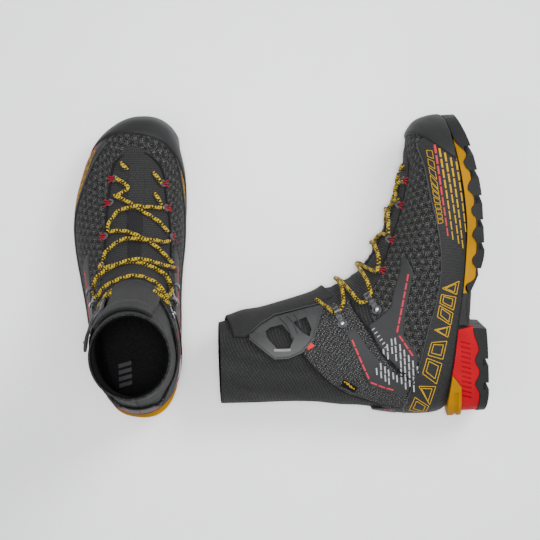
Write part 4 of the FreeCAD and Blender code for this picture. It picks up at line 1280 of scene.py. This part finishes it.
def heel_patch(side):
    """The patch up the back of the heel, with short red marks."""
    pieces = []
    for half in "LM":
        corners = ([(6.3, 92, "B" + half), (14, 94, half)], [(5.4, 116, "B" + half), (14.5, 117, half)])
        pieces.append(patch("heel_patch_" + half, side, corners, 1.0, 0.8, MAT["film"], (10, 12)))
    ride(joined(pieces, side + "_heel_patch"), side, "cuff")
    marks = []
    for z, half in itertools.product((97, 103, 109), "LM"):
        marks.append(ribbon([(7.4, z), (10.2, z + 0.3), (13, z + 0.6)], [1.2] * 3, 1.8, half))
    ride(bars("heel_marks", side, marks, MAT["red"]), side, "cuff")


FLEX_SEAM = [(124, 132), (117.8, 131.2), (98.6, 120), (81, 111), (63.3, 100.1), (51.7, 88.7), (43, 79)]
WING_SEAM = [(119, 160), (106, 166), (90, 177), (77, 185.2), (60, 173), (45, 159.3), (32, 142), (20.5, 113.6),
             (13, 88)]


def seams(side):
    """Sewn edges: the flex line over the ankle and the join of wings and gaiter."""
    t = np.linspace(0, 1, 220)
    for name, line, lift, radius in (("flex_seam", FLEX_SEAM, 1.6, 0.7), ("wing_seam", WING_SEAM, 0.6, 0.8)):
        pieces = []
        for half in "LM":
            uv = rail(on(half, line), t)
            path = on_skin(uv[:, 0], uv[:, 1], lift + 0.2 * np.cos(t * 400))
            path[:, 2] += 0.35 * np.sin(t * 400)
            pieces.append(tube(name + half, side, path, radius, MAT["seam"], 6))
        flex(joined(pieces, f"{side}_{name}"), side)


# ---------------------------------------------------------------- CAD nodes that stay visible
NODE_MATERIAL = {
    "outsole_forefoot": "tread", "outsole_heel": "tread", "midsole": "midsole", "arch_shank": "shank",
    "heel_block": "heel", "heel_clip": "clip", "lasting_board": "board", "footbed": "felt",
    "toe_puff": "board", "heel_counter": "board", "lower_hooks": "hook", "upper_hooks": "hook",
    "pull_tab": "tab",
}
BEVELS = {"outsole_forefoot": 0.7, "outsole_heel": 0.7, "heel_block": 0.5, "heel_clip": 0.8, "midsole": 0.8,
          "pull_tab": 0.5, "lower_hooks": 0.25, "upper_hooks": 0.25, "arch_shank": 0.6}


def dress_nodes(side):
    """Materials and rounded edges for the CAD parts that show as they are."""
    for name, key in NODE_MATERIAL.items():
        node = bpy.data.objects[f"{side}_{name}"]
        node.data.materials.clear()
        node.data.materials.append(MAT[key])
        if name in BEVELS:
            bevel = node.modifiers.new("edges", "BEVEL")
            bevel.width = BEVELS[name] * MM
            bevel.segments = 2
            bevel.limit_method = "ANGLE"
            bevel.angle_limit = math.radians(35)


# ---------------------------------------------------------------- the pair, the floor, light and camera
def boot(side):
    """One whole boot."""
    knit_foot(side)
    throat_binding(side)
    knit_wings(side)
    gaiter(side)
    linings(side)
    toe_cap(side)
    rand(side)
    overlays(side)
    stitched_rows(side)
    outlined_shapes(side)
    tongue(side)
    keeper(side)
    lace_loops(side)
    laces(side)
    rivets(side)
    footbed_mark(side)
    flap(side)
    tab_trim(side)
    tag_and_label(side)
    flex_marks(side)
    label_dots(side)
    heel_patch(side)
    seams(side)
    dress_nodes(side)


CAMERA_HEIGHT = 3.045
FROM_ANKLE = (0.13004, 0.08878)          # the view's middle, from the standing boot's ankle


def staged(name, data, at):
    """An object of the studio at a place."""
    made = bpy.data.objects.new(name, data)
    made.location = at
    bpy.context.scene.collection.objects.link(made)
    return made


def area_light(name, at, size, power):
    """A round soft light aimed at the pair."""
    light = bpy.data.lights.new(name, "AREA")
    light.shape = "DISK"
    light.size = size
    light.energy = power
    aim = Vector((0, 0, 0.05)) - Vector(at)
    staged(name, light, at).rotation_euler = aim.to_track_quat("-Z", "Y").to_euler()


def spot_light(name, at, degrees, power):
    """A wide soft spot that points straight down."""
    light = bpy.data.lights.new(name, "SPOT")
    light.spot_size = math.radians(degrees)
    light.spot_blend = 1.0
    light.shadow_soft_size = 0.35
    light.energy = power
    staged(name, light, at)


def floor():
    """A plain sheet of pale paper."""
    bpy.ops.mesh.primitive_plane_add(size=6, location=(0, 0, 0))
    plane = bpy.context.object
    plane.name = "floor"
    s = Shader("floor_paper", rough=0.95, specular=0.1)
    grain = s.noise(s.space(), 60, 3.0)
    plane.data.materials.append(s.done(s.ramp(grain, (0.3, 244), (0.7, 247))))


def camera():
    """Straight above the pair."""
    ankle = JOINTS["left_ankle_flex"]["pos_m"]
    lens = bpy.data.cameras.new("camera")
    lens.lens, lens.sensor_width = 200, 36
    lens.clip_end = 20
    at = (ankle[0] + FROM_ANKLE[0], ankle[1] + FROM_ANKLE[1], CAMERA_HEIGHT)
    bpy.context.scene.camera = staged("camera", lens, at)


def world_light():
    """Even, slightly cool light from all round."""
    world = bpy.data.worlds.new("studio")
    world.use_nodes = True
    background = world.node_tree.nodes["Background"].inputs
    background["Color"].default_value = (0.95, 0.97, 1.0, 1)
    background["Strength"].default_value = 1.0
    bpy.context.scene.world = world


for one_side in ("left", "right"):
    boot(one_side)
floor()
world_light()
area_light("key", (1.6, 1.5, 2.6), 1.6, 88)
area_light("fill", (-1.8, -0.6, 2.4), 2.0, 14)
spot_light("overhead", (0.02, 0.02, 3.6), 17, 640)
camera()
